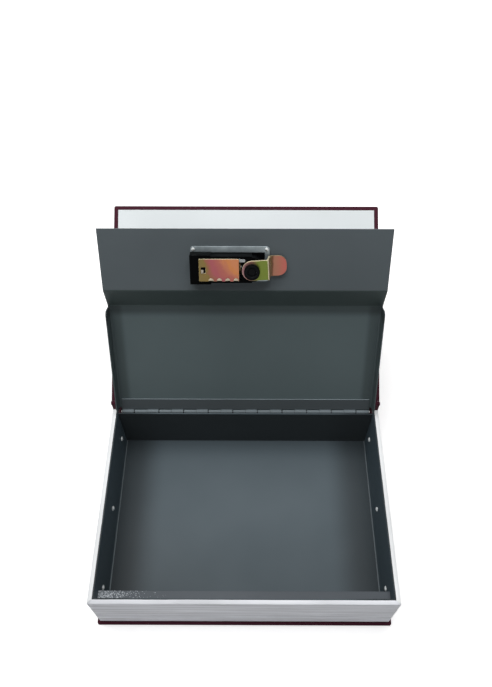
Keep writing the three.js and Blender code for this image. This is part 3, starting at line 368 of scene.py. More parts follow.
def orange_peel(tree, given):
    """Height of a fine skin: broad dimples with finer ones on them"""
    broad = noise_node(tree, given["Vector"], given["Scale"], 1.0)
    finer = math_node(tree, "MULTIPLY", given["Scale"], 2.7)
    fine = noise_node(tree, given["Vector"], finer, 1.0)
    return {"Height": math_node(tree, "MULTIPLY_ADD", fine, given["Fine"], broad)}


def cloth_grain(tree, given):
    """Pebbled grain with a faint weave under it"""
    inputs = {"Vector": given["Vector"], "Scale": given["Pebble Scale"], "Smoothness": 0.7}
    pebble = first_output(tree, "ShaderNodeTexVoronoi", inputs, feature="SMOOTH_F1")
    threads = []
    for direction in "XY":
        inputs = {"Vector": given["Vector"], "Scale": given["Thread Scale"], "Distortion": 0.6}
        wave = add_node(tree, "ShaderNodeTexWave", inputs, bands_direction=direction)
        threads.append(wave.outputs["Fac"])
    weave = math_node(tree, "MULTIPLY", *threads)
    raised = math_node(tree, "SUBTRACT", 1.0, pebble)
    return {
        "Height": math_node(tree, "MULTIPLY_ADD", weave, 0.25, raised),
        "Valleys": math_node(tree, "MULTIPLY", pebble, 1.3, clamp=True),
    }


def passivated_zinc(tree, given):
    """Drifting colour bands along X that lean with Y, under fine scratches"""
    axes = along_axes(tree, given["Vector"])
    past = math_node(tree, "SUBTRACT", axes["X"], given["Start"])
    straight = math_node(tree, "DIVIDE", past, given["Length"])
    across = math_node(tree, "DIVIDE", axes["Y"], given["Length"])
    leaning = math_node(tree, "MULTIPLY", across, given["Lean"])
    along = math_node(tree, "MULTIPLY_ADD", leaning, straight, straight)
    cloud = noise_node(tree, given["Vector"], given["Cloud Scale"], 3.0, 0.55, 0.4)
    centred = math_node(tree, "SUBTRACT", cloud, 0.5)
    scratch = noise_node(tree, given["Vector"], given["Scratch Scale"])
    return {
        "Band": math_node(tree, "MULTIPLY_ADD", centred, given["Drift"], along, clamp=True),
        "Roughness": between(tree, scratch, 0.24, 0.42),
        "Height": scratch,
    }


def metal_flecks(tree, given):
    """A mask of painted glints, a painted highlight that is dense at the start and thins out along X"""
    past = math_node(tree, "SUBTRACT", along_axes(tree, given["Vector"])["X"], given["Start"])
    gone = math_node(tree, "DIVIDE", past, given["Reach"])
    left = math_node(tree, "SUBTRACT", 1.0, gone, clamp=True)
    cover = math_node(tree, "MULTIPLY", left, given["Density"])
    grains = noise_node(tree, given["Vector"], given["Scale"], 1.0)
    level = math_node(tree, "SUBTRACT", 0.84, cover)
    above = math_node(tree, "SUBTRACT", grains, level)
    return {"Mask": math_node(tree, "MULTIPLY", above, 14.0, clamp=True)}


def corner_shade(tree, given):
    """Shade for folded sheet: darkest beside its walls, and clear towards the middle"""
    aside = math_node(tree, "ABSOLUTE", along_axes(tree, given["Vector"])["X"])
    inputs = {
        "Value": math_node(tree, "SUBTRACT", given["Half Width"], aside),
        "From Min": given["Dark Strip"],
        "From Max": given["Reach"],
        "To Min": given["Darkest"],
    }
    return {"Share": first_output(tree, "ShaderNodeMapRange", inputs, interpolation_type="SMOOTHSTEP")}


# Maker and inputs of each group, beside the vector
GROUP_MAKERS = {
    "Uneven tone": (uneven_tone, "Scale", "Tone", "Other Tone", "Smooth", "Rough"),
    "Orange peel": (orange_peel, "Scale", "Fine"),
    "Cloth grain": (cloth_grain, "Pebble Scale", "Thread Scale"),
    "Passivated zinc": (passivated_zinc, "Start", "Length", "Lean", "Drift", "Cloud Scale", "Scratch Scale"),
    "Painted glints": (metal_flecks, "Scale", "Start", "Reach", "Density"),
    "Corner shade": (corner_shade, "Half Width", "Dark Strip", "Reach", "Darkest"),
}


def new_socket(tree, name, way, kind):
    return tree.interface.new_socket(name=name, in_out=way, socket_type="NodeSocket" + kind)


def group(name):
    """The shader group of that name, built when it is first asked for"""
    tree = bpy.data.node_groups.get(name)
    if tree is None:
        maker, *names = GROUP_MAKERS[name]
        tree = bpy.data.node_groups.new(name, "ShaderNodeTree")
        new_socket(tree, "Vector", "INPUT", "Vector")
        for socket in names:
            new_socket(tree, socket, "INPUT", "Color" if socket.endswith("Tone") else "Float")
        results = maker(tree, tree.nodes.new("NodeGroupInput").outputs)
        for socket, value in results.items():
            new_socket(tree, socket, "OUTPUT", "Color" if value.type == "RGBA" else "Float")
        add_node(tree, "NodeGroupOutput", results)
    return tree


# Finishes

EVEN = (1, 1, 1)


class Kind(NamedTuple):
    """How one kind of surface looks: an uneven tone under a fine skin"""

    other_tone_share: float
    tone_scale: float
    smooth: float
    rough: float
    skin_scale: float
    fine: float
    relief: float
    shine: float = 0.5
    metallic: float = 0.0
    tone_stretch: tuple = EVEN
    skin_stretch: tuple = EVEN


COAT = Kind(0.86, 9.0, 0.4, 0.52, 620.0, 0.35, 0.012 * MM, shine=0.15)
GLOSSIER_COAT = COAT._replace(smooth=0.3, rough=0.4)
SHADED_COAT = COAT._replace(other_tone_share=0.9)
LEDGE_COAT = Kind(0.88, 9.0, 0.36, 0.48, 800.0, 0.35, 0.03 * MM, shine=0.15)
STEEL = Kind(0.8, 160.0, 0.3, 0.5, 2600.0, 0.5, 0.004 * MM, metallic=0.75)
SHEARED_STEEL = STEEL._replace(rough=0.45, metallic=0.4)
PLASTIC = Kind(1.35, 70.0, 0.3, 0.46, 3200.0, 0.6, 0.006 * MM)
PAPER = Kind(0.96, 14.0, 0.6, 0.72, 1500.0, 0.6, 0.012 * MM, skin_stretch=(1, 0.35, 1))
BOARD = Kind(0.8, 60.0, 0.8, 0.92, 900.0, 0.7, 0.05 * MM)
# Trimmed pages have thin lines along the leaves, a little uneven from bundle to bundle
PAGES = Kind(
    0.74, 26.0, 0.42, 0.6, 1500.0, 0.8, 0.03 * MM, tone_stretch=(0.5, 0.5, 12), skin_stretch=(0.05, 0.05, 3)
)
CLOTH = Kind(0.94, 22.0, 0.58, 0.64, 0.0, 0.0, 0.06 * MM, shine=0.08)
FILM = STEEL._replace(relief=0.006 * MM, metallic=0.55)


def tinted(colour, shares):
    return tuple(min(channel * share, 1) for channel, share in zip(colour, shares))


def scaled(colour, share):
    return tinted(colour, (share, share, share))


class Finish:
    """One material under construction: a Principled shader and the groups that feed it"""

    def __init__(self, label):
        self.material = bpy.data.materials.new(label)
        self.material.use_nodes = True
        self.tree = self.material.node_tree
        self.shader = self.tree.nodes["Principled BSDF"]
        self.place = self.tree.nodes.new("ShaderNodeTexCoord").outputs["Object"]

    def mapped(self, rotation=(0, 0, 0), scale=EVEN, location=(0, 0, 0)):
        inputs = {"Vector": self.place, "Rotation": rotation, "Scale": scale, "Location": location}
        return first_output(self.tree, "ShaderNodeMapping", inputs)

    def stretched(self, scale):
        return self.place if scale == EVEN else self.mapped(scale=scale)

    def add(self, name, vector, **values):
        """The outputs of a shader group; an underscore stands for the space in an input's name"""
        inputs = {key.replace("_", " ").title(): value for key, value in values.items()}
        inputs["Vector"] = vector
        return add_node(self.tree, "ShaderNodeGroup", inputs, node_tree=group(name)).outputs

    def tone(self, kind, colour):
        """The uneven colour of a kind; its roughness goes straight to the shader"""
        other = scaled(colour, kind.other_tone_share)
        outputs = self.add(
            "Uneven tone", self.stretched(kind.tone_stretch), scale=kind.tone_scale,
            tone=colour, other_tone=other, smooth=kind.smooth, rough=kind.rough,
        )
        self.feed({"Roughness": outputs["Roughness"]})
        return outputs["Color"]

    def skin(self, kind):
        """The height of a kind's skin"""
        vector = self.stretched(kind.skin_stretch)
        return self.add("Orange peel", vector, scale=kind.skin_scale, fine=kind.fine)["Height"]

    def feed(self, values):
        for name, value in values.items():
            put(self.tree, self.shader.inputs[name], value)

    def ended(self, colour, height, kind):
        inputs = {"Height": height, "Distance": kind.relief, "Strength": 1.0}
        self.feed({"Base Color": colour, "Normal": first_output(self.tree, "ShaderNodeBump", inputs)})
        self.feed({"Specular IOR Level": kind.shine, "Metallic": kind.metallic})
        return self.material


def surface(label, kind, colour, shades=()):
    """A finish of one kind; each shade gives its turn, its shift and where it is dark"""
    finish = Finish(label)
    tone = finish.tone(kind, colour)
    for turn, shift, values in shades:
        border = finish.add("Corner shade", finish.mapped(turn, EVEN, shift), **values)
        tone = mix_colours(finish.tree, 1.0, tone, border["Share"], "MULTIPLY")
    return finish.ended(tone, finish.skin(kind), kind)


# The corner shade is measured along X from the middle. A turn lays another direction along X,
# and a shift by a metre leaves one wall of the two
HERE = (0, 0, 0)
ONE_WALL = (1, 0, 0)
ALONG_Y = (0, 0, pi / 2)
ALONG_Z = (0, pi / 2, 0)
DIAGONAL = (0, 0, 3 * pi / 4)
STEP_FOOT = 152 * MM
GLINT_REACH = 70 * MM


def floor_shades():
    """Darker beside the side walls, towards the front and most in the front left corner"""
    low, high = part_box("steel_tray")
    front = ONE_WALL[0] - low.y
    corner = ONE_WALL[0] - (low.x + low.y) * cos(pi / 4)
    return (
        (HERE, HERE, {"half_width": high.x, "dark_strip": 15 * MM, "reach": 46 * MM, "darkest": 0.42}),
        (ALONG_Y, ONE_WALL, {"half_width": front, "dark_strip": 0, "reach": 110 * MM, "darkest": 0.78}),
        (DIAGONAL, ONE_WALL, {"half_width": corner, "dark_strip": 0, "reach": 140 * MM, "darkest": 0.74}),
    )


def lower_panel_shades():
    """Darker beside the flanges and right under the step, whose foot is at a height over the table"""
    low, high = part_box("hinge_leaf_lid")
    return (
        (HERE, HERE, {"half_width": high.x, "dark_strip": 5 * MM, "reach": 11 * MM, "darkest": 0.66}),
        (ALONG_Z, HERE, {"half_width": STEP_FOOT, "dark_strip": 2 * MM, "reach": 9 * MM, "darkest": 0.5}),
    )


def flecked_coat():
    """The ledge's coat, with a patch of painted glints at its left end: a painted highlight"""
    finish = Finish("Ledge powder coat")
    tone = finish.tone(LEDGE_COAT, scaled(colours().ledge, 0.7))
    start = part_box("front_ledge")[0].x
    values = {"scale": 1300.0, "start": start, "reach": GLINT_REACH, "density": 0.38}
    mask = finish.add("Painted glints", finish.place, **values)["Mask"]
    # Painted highlight: pale glints mixed into the ledge's coat, thinning out from its left end
    bright = mix_colours(finish.tree, mask, tone, GLINT_COLOUR)
    return finish.ended(bright, finish.skin(LEDGE_COAT), LEDGE_COAT)


def book_cloth():
    """Fine pebbled cloth that is darker in its valleys"""
    finish = Finish("Maroon book cloth")
    colour = tinted(colours().cloth, (0.92, 0.8, 0.82))
    tone = finish.tone(CLOTH, colour)
    grain = finish.add("Cloth grain", finish.place, pebble_scale=1100.0, thread_scale=900.0)
    shaded = mix_colours(finish.tree, grain["Valleys"], tone, scaled(colour, 0.55))
    return finish.ended(shaded, grain["Height"], CLOTH)


def zinc_film(label, node, stops, drift, lean=0.0):
    """Colours along a plate; a mapping lays the pattern flat on the lid, with Y from the plate's middle"""
    finish = Finish(label)
    low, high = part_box(node)
    middle = Matrix.Rotation(LID_ANGLE, 3, "X") @ centre_of(node)
    flat = finish.mapped(rotation=(LID_ANGLE, 0, 0), location=(0, -middle.y, 0))
    film = finish.add(
        "Passivated zinc", flat, start=low.x, length=high.x - low.x, lean=lean, drift=drift,
        cloud_scale=160.0, scratch_scale=2400.0,
    )
    finish.feed({"Roughness": film["Roughness"]})
    return finish.ended(ramp_node(finish.tree, film["Band"], stops), film["Height"], FILM)


# Colour of the painted glints on the ledge
GLINT_COLOUR = (0.42, 0.45, 0.48)
# The first two edge colours are painted highlight; the tongue's edge colour is duller
EDGE_HIGHLIGHT = (0.64, 0.55, 0.36)
PLATE_EDGE_HIGHLIGHT = (0.9, 0.82, 0.58)
TONGUE_RIM_COLOUR = (0.27, 0.2, 0.11)
DIGIT_COLOUR = (0.8, 0.8, 0.78)
RING_COLOUR = (0.22, 0.15, 0.06)
COMB_COLOUR = (0.52, 0.44, 0.32)
PLATE_STOPS = [
    (0.0, (0.17, 0.12, 0.035)),
    (0.17, (0.18, 0.12, 0.03)),
    (0.26, (0.25, 0.09, 0.055)),
    (0.4, (0.31, 0.075, 0.085)),
    (0.58, (0.34, 0.095, 0.075)),
    (0.72, (0.41, 0.14, 0.075)),
    (0.88, (0.48, 0.175, 0.055)),
    (1.0, (0.48, 0.18, 0.075)),
]
CAM_STOPS = [
    (0.0, (0.26, 0.13, 0.14)),
    (0.2, (0.27, 0.13, 0.1)),
    (0.36, (0.14, 0.18, 0.022)),
    (0.57, (0.14, 0.18, 0.022)),
    (0.61, (0.15, 0.11, 0.03)),
    (0.66, (0.1, 0.04, 0.015)),
    (0.72, (0.31, 0.13, 0.08)),
    (1.0, (0.4, 0.1, 0.08)),
]


def recipes():
    """Label, kind and colour of each finish that is one kind of surface, and its shades if it has any"""
    c = colours()
    dull_steel = STEEL._replace(smooth=0.34)
    dull_plastic = PLASTIC._replace(smooth=0.34, rough=0.5, shine=0.02)
    return {
        "paper": ("Endpaper", PAPER, c.paper),
        "board": ("Grey board", BOARD, c.board),
        "pages": ("Page edges", PAGES, scaled(c.pages, 1.17)),
        # The side walls and the top leaf get lighter copies of the page colour than the front: painted light
        "side pages": ("Side page edges", PAGES._replace(other_tone_share=0.84), scaled(c.pages, 1.25)),
        "leaf top": ("Top leaf", PAGES._replace(other_tone_share=1.0), scaled(c.pages, 1.28)),
        "paint": ("Grey powder coat", COAT, c.paint),
        # Darker copy of the coat on the step: painted shade
        "step": ("Coat on the step", COAT, tinted(c.paint, (0.62, 0.7, 0.64))),
        "tray": ("Tray powder coat", SHADED_COAT, tinted(c.paint, (0.86, 0.94, 0.99)), floor_shades()),
        # The tray's walls get darker copies of the coat and its folds a lighter one: painted shade and painted
        # highlight
        "side wall": ("Coat on the side walls", COAT, tinted(c.paint, (0.72, 0.84, 0.92))),
        "fold": ("Coat on the folds", COAT, scaled(c.paint, 1.2)),
        "back wall": ("Coat on the back wall", COAT, scaled(c.paint, 0.5)),
        # The lower panel gets a lighter, greener copy of the coat, with painted shade beside its flanges and under
        # the step
        "lower panel": (
            "Coat on the lower panel", SHADED_COAT, tinted(c.paint, (1.02, 1.12, 1.08)), lower_panel_shades()
        ),
        # The hinge leaves get a darker copy of the coat: painted shade
        "leaf": ("Leaf coat", COAT, scaled(c.paint, 0.72)),
        # Lighter copies of the coat on the knuckles and on the leaf's free edge: painted highlight
        "knuckle highlight": ("Hinge coat", GLOSSIER_COAT, scaled(c.paint, 1.7)),
        "worn": ("Worn edge of the coat", GLOSSIER_COAT, scaled(c.paint, 3.2)),
        "bright": ("Bright steel", STEEL, c.bright),
        "pawl": ("Pawl", STEEL, scaled(c.bright, 0.55)),
        "rivet": ("Rivet", SHEARED_STEEL._replace(metallic=0.2), scaled(c.bright, 1.5)),
        "zinc": ("Zinc plate", dull_steel._replace(metallic=0.7), c.zinc),
        "ring": ("Code ring", dull_steel._replace(metallic=0.6), RING_COLOUR),
        # Pale colours on the edges of the zinc plate and the cam: painted highlight
        "rim": ("Sheared zinc edge", SHEARED_STEEL, EDGE_HIGHLIGHT),
        "plate rim": ("Bright plate edge", SHEARED_STEEL._replace(metallic=0.3), PLATE_EDGE_HIGHLIGHT),
        "tongue rim": ("Dull cam edge", SHEARED_STEEL, TONGUE_RIM_COLOUR),
        "black": ("Black moulding", dull_plastic, scaled(c.black, 0.3)),
        "satin": ("Satin black moulding", PLASTIC._replace(rough=0.45, shine=0.35), c.black),
        "nut": ("Black nut", PLASTIC._replace(rough=0.45, shine=0.06), scaled(c.black, 0.5)),
        "tab": ("Reset tab", PLASTIC, tinted(c.white, (0.5, 0.45, 0.4))),
        "comb": ("Spring comb", PLASTIC, COMB_COLOUR),
        "digits": ("White numbers", PLASTIC._replace(smooth=0.5, rough=0.6), DIGIT_COLOUR),
    }


MATERIALS = {}


def material(name):
    """The finish of that name, made when it is first asked for"""
    makers = {
        "cloth": (book_cloth,),
        "ledge": (flecked_coat,),
        "plate": (zinc_film, "Passivated back plate", "lock_back_plate", PLATE_STOPS, 0.3, -1.2),
        "cam": (zinc_film, "Passivated cam", "lock_cam", CAM_STOPS, 0.12),
    }
    if name not in MATERIALS:
        maker, *values = makers[name] if name in makers else (surface, *recipes()[name])
        MATERIALS[name] = maker(*values)
    return MATERIALS[name]


# Geometry node trees


def new_tree(name, **inputs):
    """A geometry tree with those inputs, each with its kind, and one for its finish"""
    tree = bpy.data.node_groups.new(name, "GeometryNodeTree")
    for socket, kind in {"Geometry": "Geometry", **inputs, "Material": "Material"}.items():
        new_socket(tree, socket, "INPUT", kind)
    new_socket(tree, "Geometry", "OUTPUT", "Geometry")
    return tree, tree.nodes.new("NodeGroupInput").outputs


def end_tree(tree, given, geometry):
    """Every tree ends the same way: real geometry with its finish"""
    real = first_output(tree, "GeometryNodeRealizeInstances", {"Geometry": geometry})
    inputs = {"Geometry": real, "Material": given["Material"]}
    add_node(tree, "NodeGroupOutput", {"Geometry": first_output(tree, "GeometryNodeSetMaterial", inputs)})
    return tree


def run_tree(name, tree, mesh_object, finish, **values):
    """Runs a tree on an object and keeps the result as a plain mesh"""
    values["material"] = material(finish)
    modifier = mesh_object.modifiers.new("Maker", "NODES")
    modifier.node_group = tree
    for item in tree.interface.items_tree:
        key = item.name.lower()
        if item.in_out == "INPUT" and key in values:
            modifier[item.identifier] = values[key]
    mesh_object.name = name
    return as_plain_mesh(mesh_object)


def forget(thing):
    mesh = thing.data
    bpy.data.objects.remove(thing)
    bpy.data.meshes.remove(mesh)


def pushed(tree, geometry, direction, distance):
    """Moves the points along a direction"""
    inputs = {0: direction, "Scale": distance}
    shift = first_output(tree, "ShaderNodeVectorMath", inputs, operation="SCALE")
    return first_output(tree, "GeometryNodeSetPosition", {"Geometry": geometry, "Offset": shift})


def copies_on(tree, points, source, **more):
    """Sets the object of a tree's input on every point"""
    original = add_node(tree, "GeometryNodeObjectInfo", {"Object": source})
    inputs = {"Points": points, "Instance": original.outputs["Geometry"], **more}
    return first_output(tree, "GeometryNodeInstanceOnPoints", inputs)


# Waves per metre of the ripple on the page block: long along the leaves and short across them
RIPPLE_SCALES = (28.0, 28.0, 420.0)


def build_leaf_tree():
    """Stacks one bundle of pages up the wall, each bundle shifted a little inwards"""
    tree, given = new_tree(
        "Stacked page bundles", Bundle="Object", Count="Int", Pitch="Float", Wander="Float",
        Ripple="Float", Outward="Vector", Seed="Int",
    )
    inputs = {"Count": given["Count"], "Offset": from_axes(tree, Z=given["Pitch"])}
    line = first_output(tree, "GeometryNodeMeshLine", inputs)
    chance = add_node(tree, "FunctionNodeRandomValue", {"Seed": given["Seed"]}, data_type="FLOAT")
    low, high = [s for s in chance.inputs if s.name in ("Min", "Max") and s.type == "VALUE"]
    low.default_value = -1.0
    high.default_value = 0.0
    away = math_node(tree, "MULTIPLY", chance.outputs[1], given["Wander"])
    placed = pushed(tree, line, given["Outward"], away)
    copies = copies_on(tree, placed, given["Bundle"])
    real = first_output(tree, "GeometryNodeRealizeInstances", {"Geometry": copies})
    inputs = {0: first_output(tree, "GeometryNodeInputPosition", {}), 1: RIPPLE_SCALES}
    squeezed = first_output(tree, "ShaderNodeVectorMath", inputs, operation="MULTIPLY")
    swell = math_node(tree, "SUBTRACT", noise_node(tree, squeezed, 1.0), 0.5)
    lift = math_node(tree, "MULTIPLY", swell, given["Ripple"])
    return end_tree(tree, given, pushed(tree, real, given["Outward"], lift))


def build_rivet_tree():
    """Sets one rivet on every point, turned to the point's facing"""
    tree, given = new_tree("Rivets on points", Rivet="Object")
    inputs = {"Name": "facing"}
    facing = first_output(tree, "GeometryNodeInputNamedAttribute", inputs, data_type="FLOAT_VECTOR")
    turn = first_output(tree, "FunctionNodeAlignRotationToVector", {"Vector": facing}, axis="Z")
    return end_tree(tree, given, copies_on(tree, given["Geometry"], given["Rivet"], Rotation=turn))


def build_digit_tree():
    """Ten numbers round a wheel, each drawn flat and stood on its land"""
    names = ("Radius", "Height", "Relief", "First")
    tree, given = new_tree("Numbers round a wheel", **dict.fromkeys(names, "Float"))
    all_digits = tree.nodes.new("GeometryNodeJoinGeometry")
    up = from_axes(tree, Z=given["Radius"])
    for digit in range(10):
        inputs = {"String": str(digit), "Size": given["Height"]}
        text = first_output(tree, "GeometryNodeStringToCurves", inputs, align_x="CENTER", align_y="MIDDLE")
        flat = first_output(tree, "GeometryNodeFillCurve", {"Curve": text})
        inputs = {"Mesh": flat, "Offset Scale": given["Relief"]}
        raised = first_output(tree, "GeometryNodeExtrudeMesh", inputs)
        lifted = first_output(tree, "GeometryNodeTransform", {"Geometry": raised, "Translation": up})
        angle = math_node(tree, "ADD", given["First"], digit * 2 * pi / 10)
        inputs = {"Geometry": lifted, "Rotation": from_axes(tree, X=angle)}
        put(tree, all_digits.inputs["Geometry"], first_output(tree, "GeometryNodeTransform", inputs))
    return end_tree(tree, given, all_digits.outputs["Geometry"])


# Operators


class SafeOperator:
    bl_options = {"REGISTER", "UNDO"}


TOP_LAMP = {"place": (-120 * MM, 150 * MM, 1300 * MM), "target": (0, 0, 0), "size": 1300 * MM}
FRONT_LAMP = {"place": (-300 * MM, -1300 * MM, 700 * MM), "target": (0, 0, 40 * MM), "size": 700 * MM}
NEAREST_SEEN = 10 * MM
FLOOR_RADIUS = 6000 * MM
FLOOR_DROP = 0.2 * MM
PALE = (0.9, 0.9, 0.9)
WHITE = (1, 1, 1)


class SAFE_OT_stage(SafeOperator, Operator):
    """Camera, soft lamps, pale floor and white surroundings"""

    bl_idname = "safe.stage"
    bl_label = "Stage"

    def execute(self, context):
        stage = context.scene.safe_stage
        camera = bpy.data.objects.new("Camera", bpy.data.cameras.new("Camera"))
        context.scene.collection.objects.link(camera)
        camera.location = stage.camera_place
        camera.rotation_euler = (pi / 2 - stage.look_down, 0, stage.look_left)
        camera.data.lens = stage.focal_length
        camera.data.sensor_width = stage.sensor_width
        camera.data.shift_x = stage.shift_right
        camera.data.shift_y = stage.shift_up
        camera.data.clip_start = NEAREST_SEEN
        context.scene.camera = camera
        context.scene.view_settings.view_transform = "Standard"
        self.lamp("Top lamp", power=stage.top_power, **TOP_LAMP)
        self.lamp("Front lamp", power=stage.front_power, **FRONT_LAMP)
        self.surroundings(context, stage.sky)
        self.floor()
        return {"FINISHED"}

    def lamp(self, name, place, target, size, power):
        data = bpy.data.lights.new(name, "AREA")
        data.shape = "DISK"
        data.size = size
        data.energy = power
        lamp = bpy.data.objects.new(name, data)
        bpy.context.scene.collection.objects.link(lamp)
        lamp.location = place
        lamp.rotation_euler = (Vector(target) - Vector(place)).to_track_quat("-Z", "Y").to_euler()

    def seen_directly(self, tree):
        """One for rays that show the backdrop itself: from the camera, in a reflection or through glass"""
        rays = tree.nodes.new("ShaderNodeLightPath").outputs
        shown = math_node(tree, "ADD", rays["Is Camera Ray"], rays["Is Glossy Ray"])
        return math_node(tree, "ADD", shown, rays["Is Transmission Ray"], clamp=True)

    def surroundings(self, context, sky):
        world = bpy.data.worlds.new("White surroundings")
        context.scene.world = world
        world.use_nodes = True
        tree = world.node_tree
        background = tree.nodes["Background"]
        put(tree, background.inputs["Color"], WHITE)
        put(tree, background.inputs["Strength"], between(tree, self.seen_directly(tree), sky, 1.0))

    def floor(self):
        """A pale disc that keeps the object's shadow near it and is white further out"""
        bm = bmesh.new()
        bmesh.ops.create_circle(bm, cap_ends=True, segments=96, radius=FLOOR_RADIUS)
        floor = new_object("Floor", bm)
        floor.location.z = -FLOOR_DROP
        finish = Finish("Pale floor")
        tree = finish.tree
        length = add_node(tree, "ShaderNodeVectorMath", {0: finish.place}, operation="LENGTH")
        far = math_node(tree, "MULTIPLY_ADD", length.outputs["Value"], 2.2, -0.5, clamp=True)
        glow = math_node(tree, "MULTIPLY", self.seen_directly(tree), between(tree, far, 0.5, 1.0))
        finish.feed({"Base Color": PALE, "Roughness": 0.8, "Specular IOR Level": 0.0})
        finish.feed({"Emission Color": WHITE, "Emission Strength": glow})
        floor.data.materials.append(finish.material)


class SAFE_OT_tray(SafeOperator, Operator):
    """Steel tray and the ledge under the lid's free edge"""

    bl_idname = "safe.tray"
    bl_label = "Tray and ledge"

    def execute(self, context):
        tray = dressed("steel_tray", "box", "grey_paint", "tray", sizes().sheet_edge)
        # Painted shade on the inner walls and a painted highlight on the folds
        repaint(tray, "back wall", lambda face: face.normal.y < -MOST_SHARE and face.center.y > 0)
        repaint(tray, "side wall", lambda face: towards_middle(face) > WALL_SHARE)
        repaint(tray, "fold", lambda face: min(towards_middle(face), face.normal.z) > LITTLE_SHARE)
        dressed("front_ledge", "box", "ledge_paint", "ledge", sizes().sheet_edge)
        return {"FINISHED"}


LIP = 0.28 * MM
LEAF_GAP = 0.02 * MM
LEAF_RIPPLE = 0.35 * MM
LIP_STEPS = 4
WALL_SEGMENTS = 72
FIRST_SEED = 7
LEAF_SHARP = radians(50)


class SAFE_OT_pages(SafeOperator, Operator):
    """Page block: stacked bundles of pages on three sides"""

    bl_idname = "safe.pages"
    bl_label = "Page block"

    def execute(self, context):
        tree = build_leaf_tree()
        self.wall(tree, "page_edge_front", "Y", -1, (1, 1), "pages")
        self.wall(tree, "page_edge_left", "X", -1, (1, 0), "side pages")
        self.wall(tree, "page_edge_right", "X", 1, (1, 0), "side pages")
        return {"FINISHED"}

    def wall(self, tree, node, across, sign, mitres, finish):
        """across is the wall's thin direction; mitres tells which ends meet another wall"""
        low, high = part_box(node)
        thick = "XYZ".index(across)
        long = 1 - thick
        outer = high[thick] if sign > 0 else low[thick]
        height = high.z - low.z
        count = round(height / sizes().leaf_pitch)
        pitch = height / count
        profile = self.profile(high[thick] - low[thick], pitch - LEAF_GAP)
        sections = []
        for i in range(WALL_SEGMENTS + 1):
            section = []
            for inward, up in profile:
                start = low[long] - mitres[0] * inward
                end = high[long] + mitres[1] * inward
                point = [0, 0, low.z + up]
                point[thick] = outer + sign * inward
                point[long] = start + (end - start) * (i / WALL_SEGMENTS)
                section.append(tuple(point))
            sections.append(section)
        bundle = swept("page_bundle", sections)
        outward = [0, 0, 0]
        outward[thick] = sign
        wall = run_tree(
            "paper_" + node, tree, from_lists("pages", [(0, 0, 0)]), finish, bundle=bundle,
            count=count, pitch=pitch, wander=sizes().leaf_wander, ripple=LEAF_RIPPLE,
            outward=outward, seed=FIRST_SEED + thick,
        )
        forget(bundle)
        wall.data.shade_smooth()
        wall.data.set_sharp_from_angle(angle=LEAF_SHARP)
        top = high.z - pitch / 2
        # The top faces of the top bundle get a lighter copy of the page colour: painted highlight
        repaint(wall, "leaf top", lambda face: face.normal.z > MOST_SHARE and face.center.z > top)
        hand_over(wall, None, "box", "page_edge", node)

    def profile(self, depth, thickness):
        """Section of one bundle, from its outer face inwards, with a rounded lip"""
        points = [(-depth, 0)]
        for i in range(LIP_STEPS + 1):
            angle = -pi / 2 + pi * i / LIP_STEPS
            points.append((-LIP + LIP * cos(angle), thickness / 2 + thickness / 2 * sin(angle)))
        return points + [(-depth, thickness)]


DOME_HEIGHT = 2.1 * MM
SHANK_RADIUS = 1.6 * MM
CROWN_FLAT = 0.02 * MM
HEAD_RIM = 0.06 * MM
HEAD_UNDERSIDE_SHARE = 0.96
DOME_STEPS = 7


class SAFE_OT_rivets(SafeOperator, Operator):
    """Domed rivets that hold the page block to the tray"""

    bl_idname = "safe.rivets"
    bl_label = "Rivets"

    def execute(self, context):
        nodes = [f"rivet_{side}_{row}" for side in ("left", "right") for row in ("rear", "middle", "front")]
        nodes += ["rivet_front_left", "rivet_front_right"]
        places = []
        facings = []
        for node in nodes:
            low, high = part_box(node)
            place = centre_of(node)
            size = high - low
            thin = min(range(3), key=lambda k: size[k])
            facing = Vector((0, 0, 0))
            facing[thin] = 1 if place[thin] < 0 else -1
            place[thin] = high[thin] if facing[thin] > 0 else low[thin]
            places.append(place)
            facings.extend(facing)
        head = self.head(nodes[0])
        seeds = from_lists("rivet_points", places)
        facing = seeds.data.attributes.new("facing", "FLOAT_VECTOR", "POINT")
        facing.data.foreach_set("vector", facings)
        rivets = run_tree("tray_rivets", build_rivet_tree(), seeds, "rivet", rivet=head)
        forget(head)
        rivets.data.shade_smooth()
        hand_over(rivets, None, "box", "bright_steel", *nodes)
        for side in ("left", "right"):
            dressed("lock_plate_rivet_" + side, "lid", "bright_steel", "bright", THIN_EDGE)
        return {"FINISHED"}

    def head(self, node):
        """A dome over a shank; its crown is at the origin and the shank runs down Z"""
        low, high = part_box(node)
        radius = (high.y - low.y) / 2
        foot = -DOME_HEIGHT - HEAD_RIM
        profile = [(CROWN_FLAT, 0)]
        for i in range(1, DOME_STEPS + 1):
            angle = pi / 2 * i / DOME_STEPS
            profile.append((radius * sin(angle), -DOME_HEIGHT * (1 - cos(angle))))
        profile += [(radius * HEAD_UNDERSIDE_SHARE, foot), (SHANK_RADIUS, foot)]
        profile.append((SHANK_RADIUS, low.x - high.x))
        count = sizes().rivet_segments
        turns = [2 * pi * j / count for j in range(count)]
        sections = [[(r * cos(turn), r * sin(turn), z) for turn in turns] for r, z in profile]
        return swept("rivet_head", sections)


LEAF_EDGE = 0.25 * MM
PIN_EDGE = 0.2 * MM
PIN_END_SHARE = 0.9
KNUCKLE_REACH = 2.1 * MM
KNUCKLE_END = 0.4 * MM
KNUCKLE_GAP = 0.7 * MM
KNUCKLE_SIDE_SHARE = 0.6
UPWARD_SHARE = 0.05


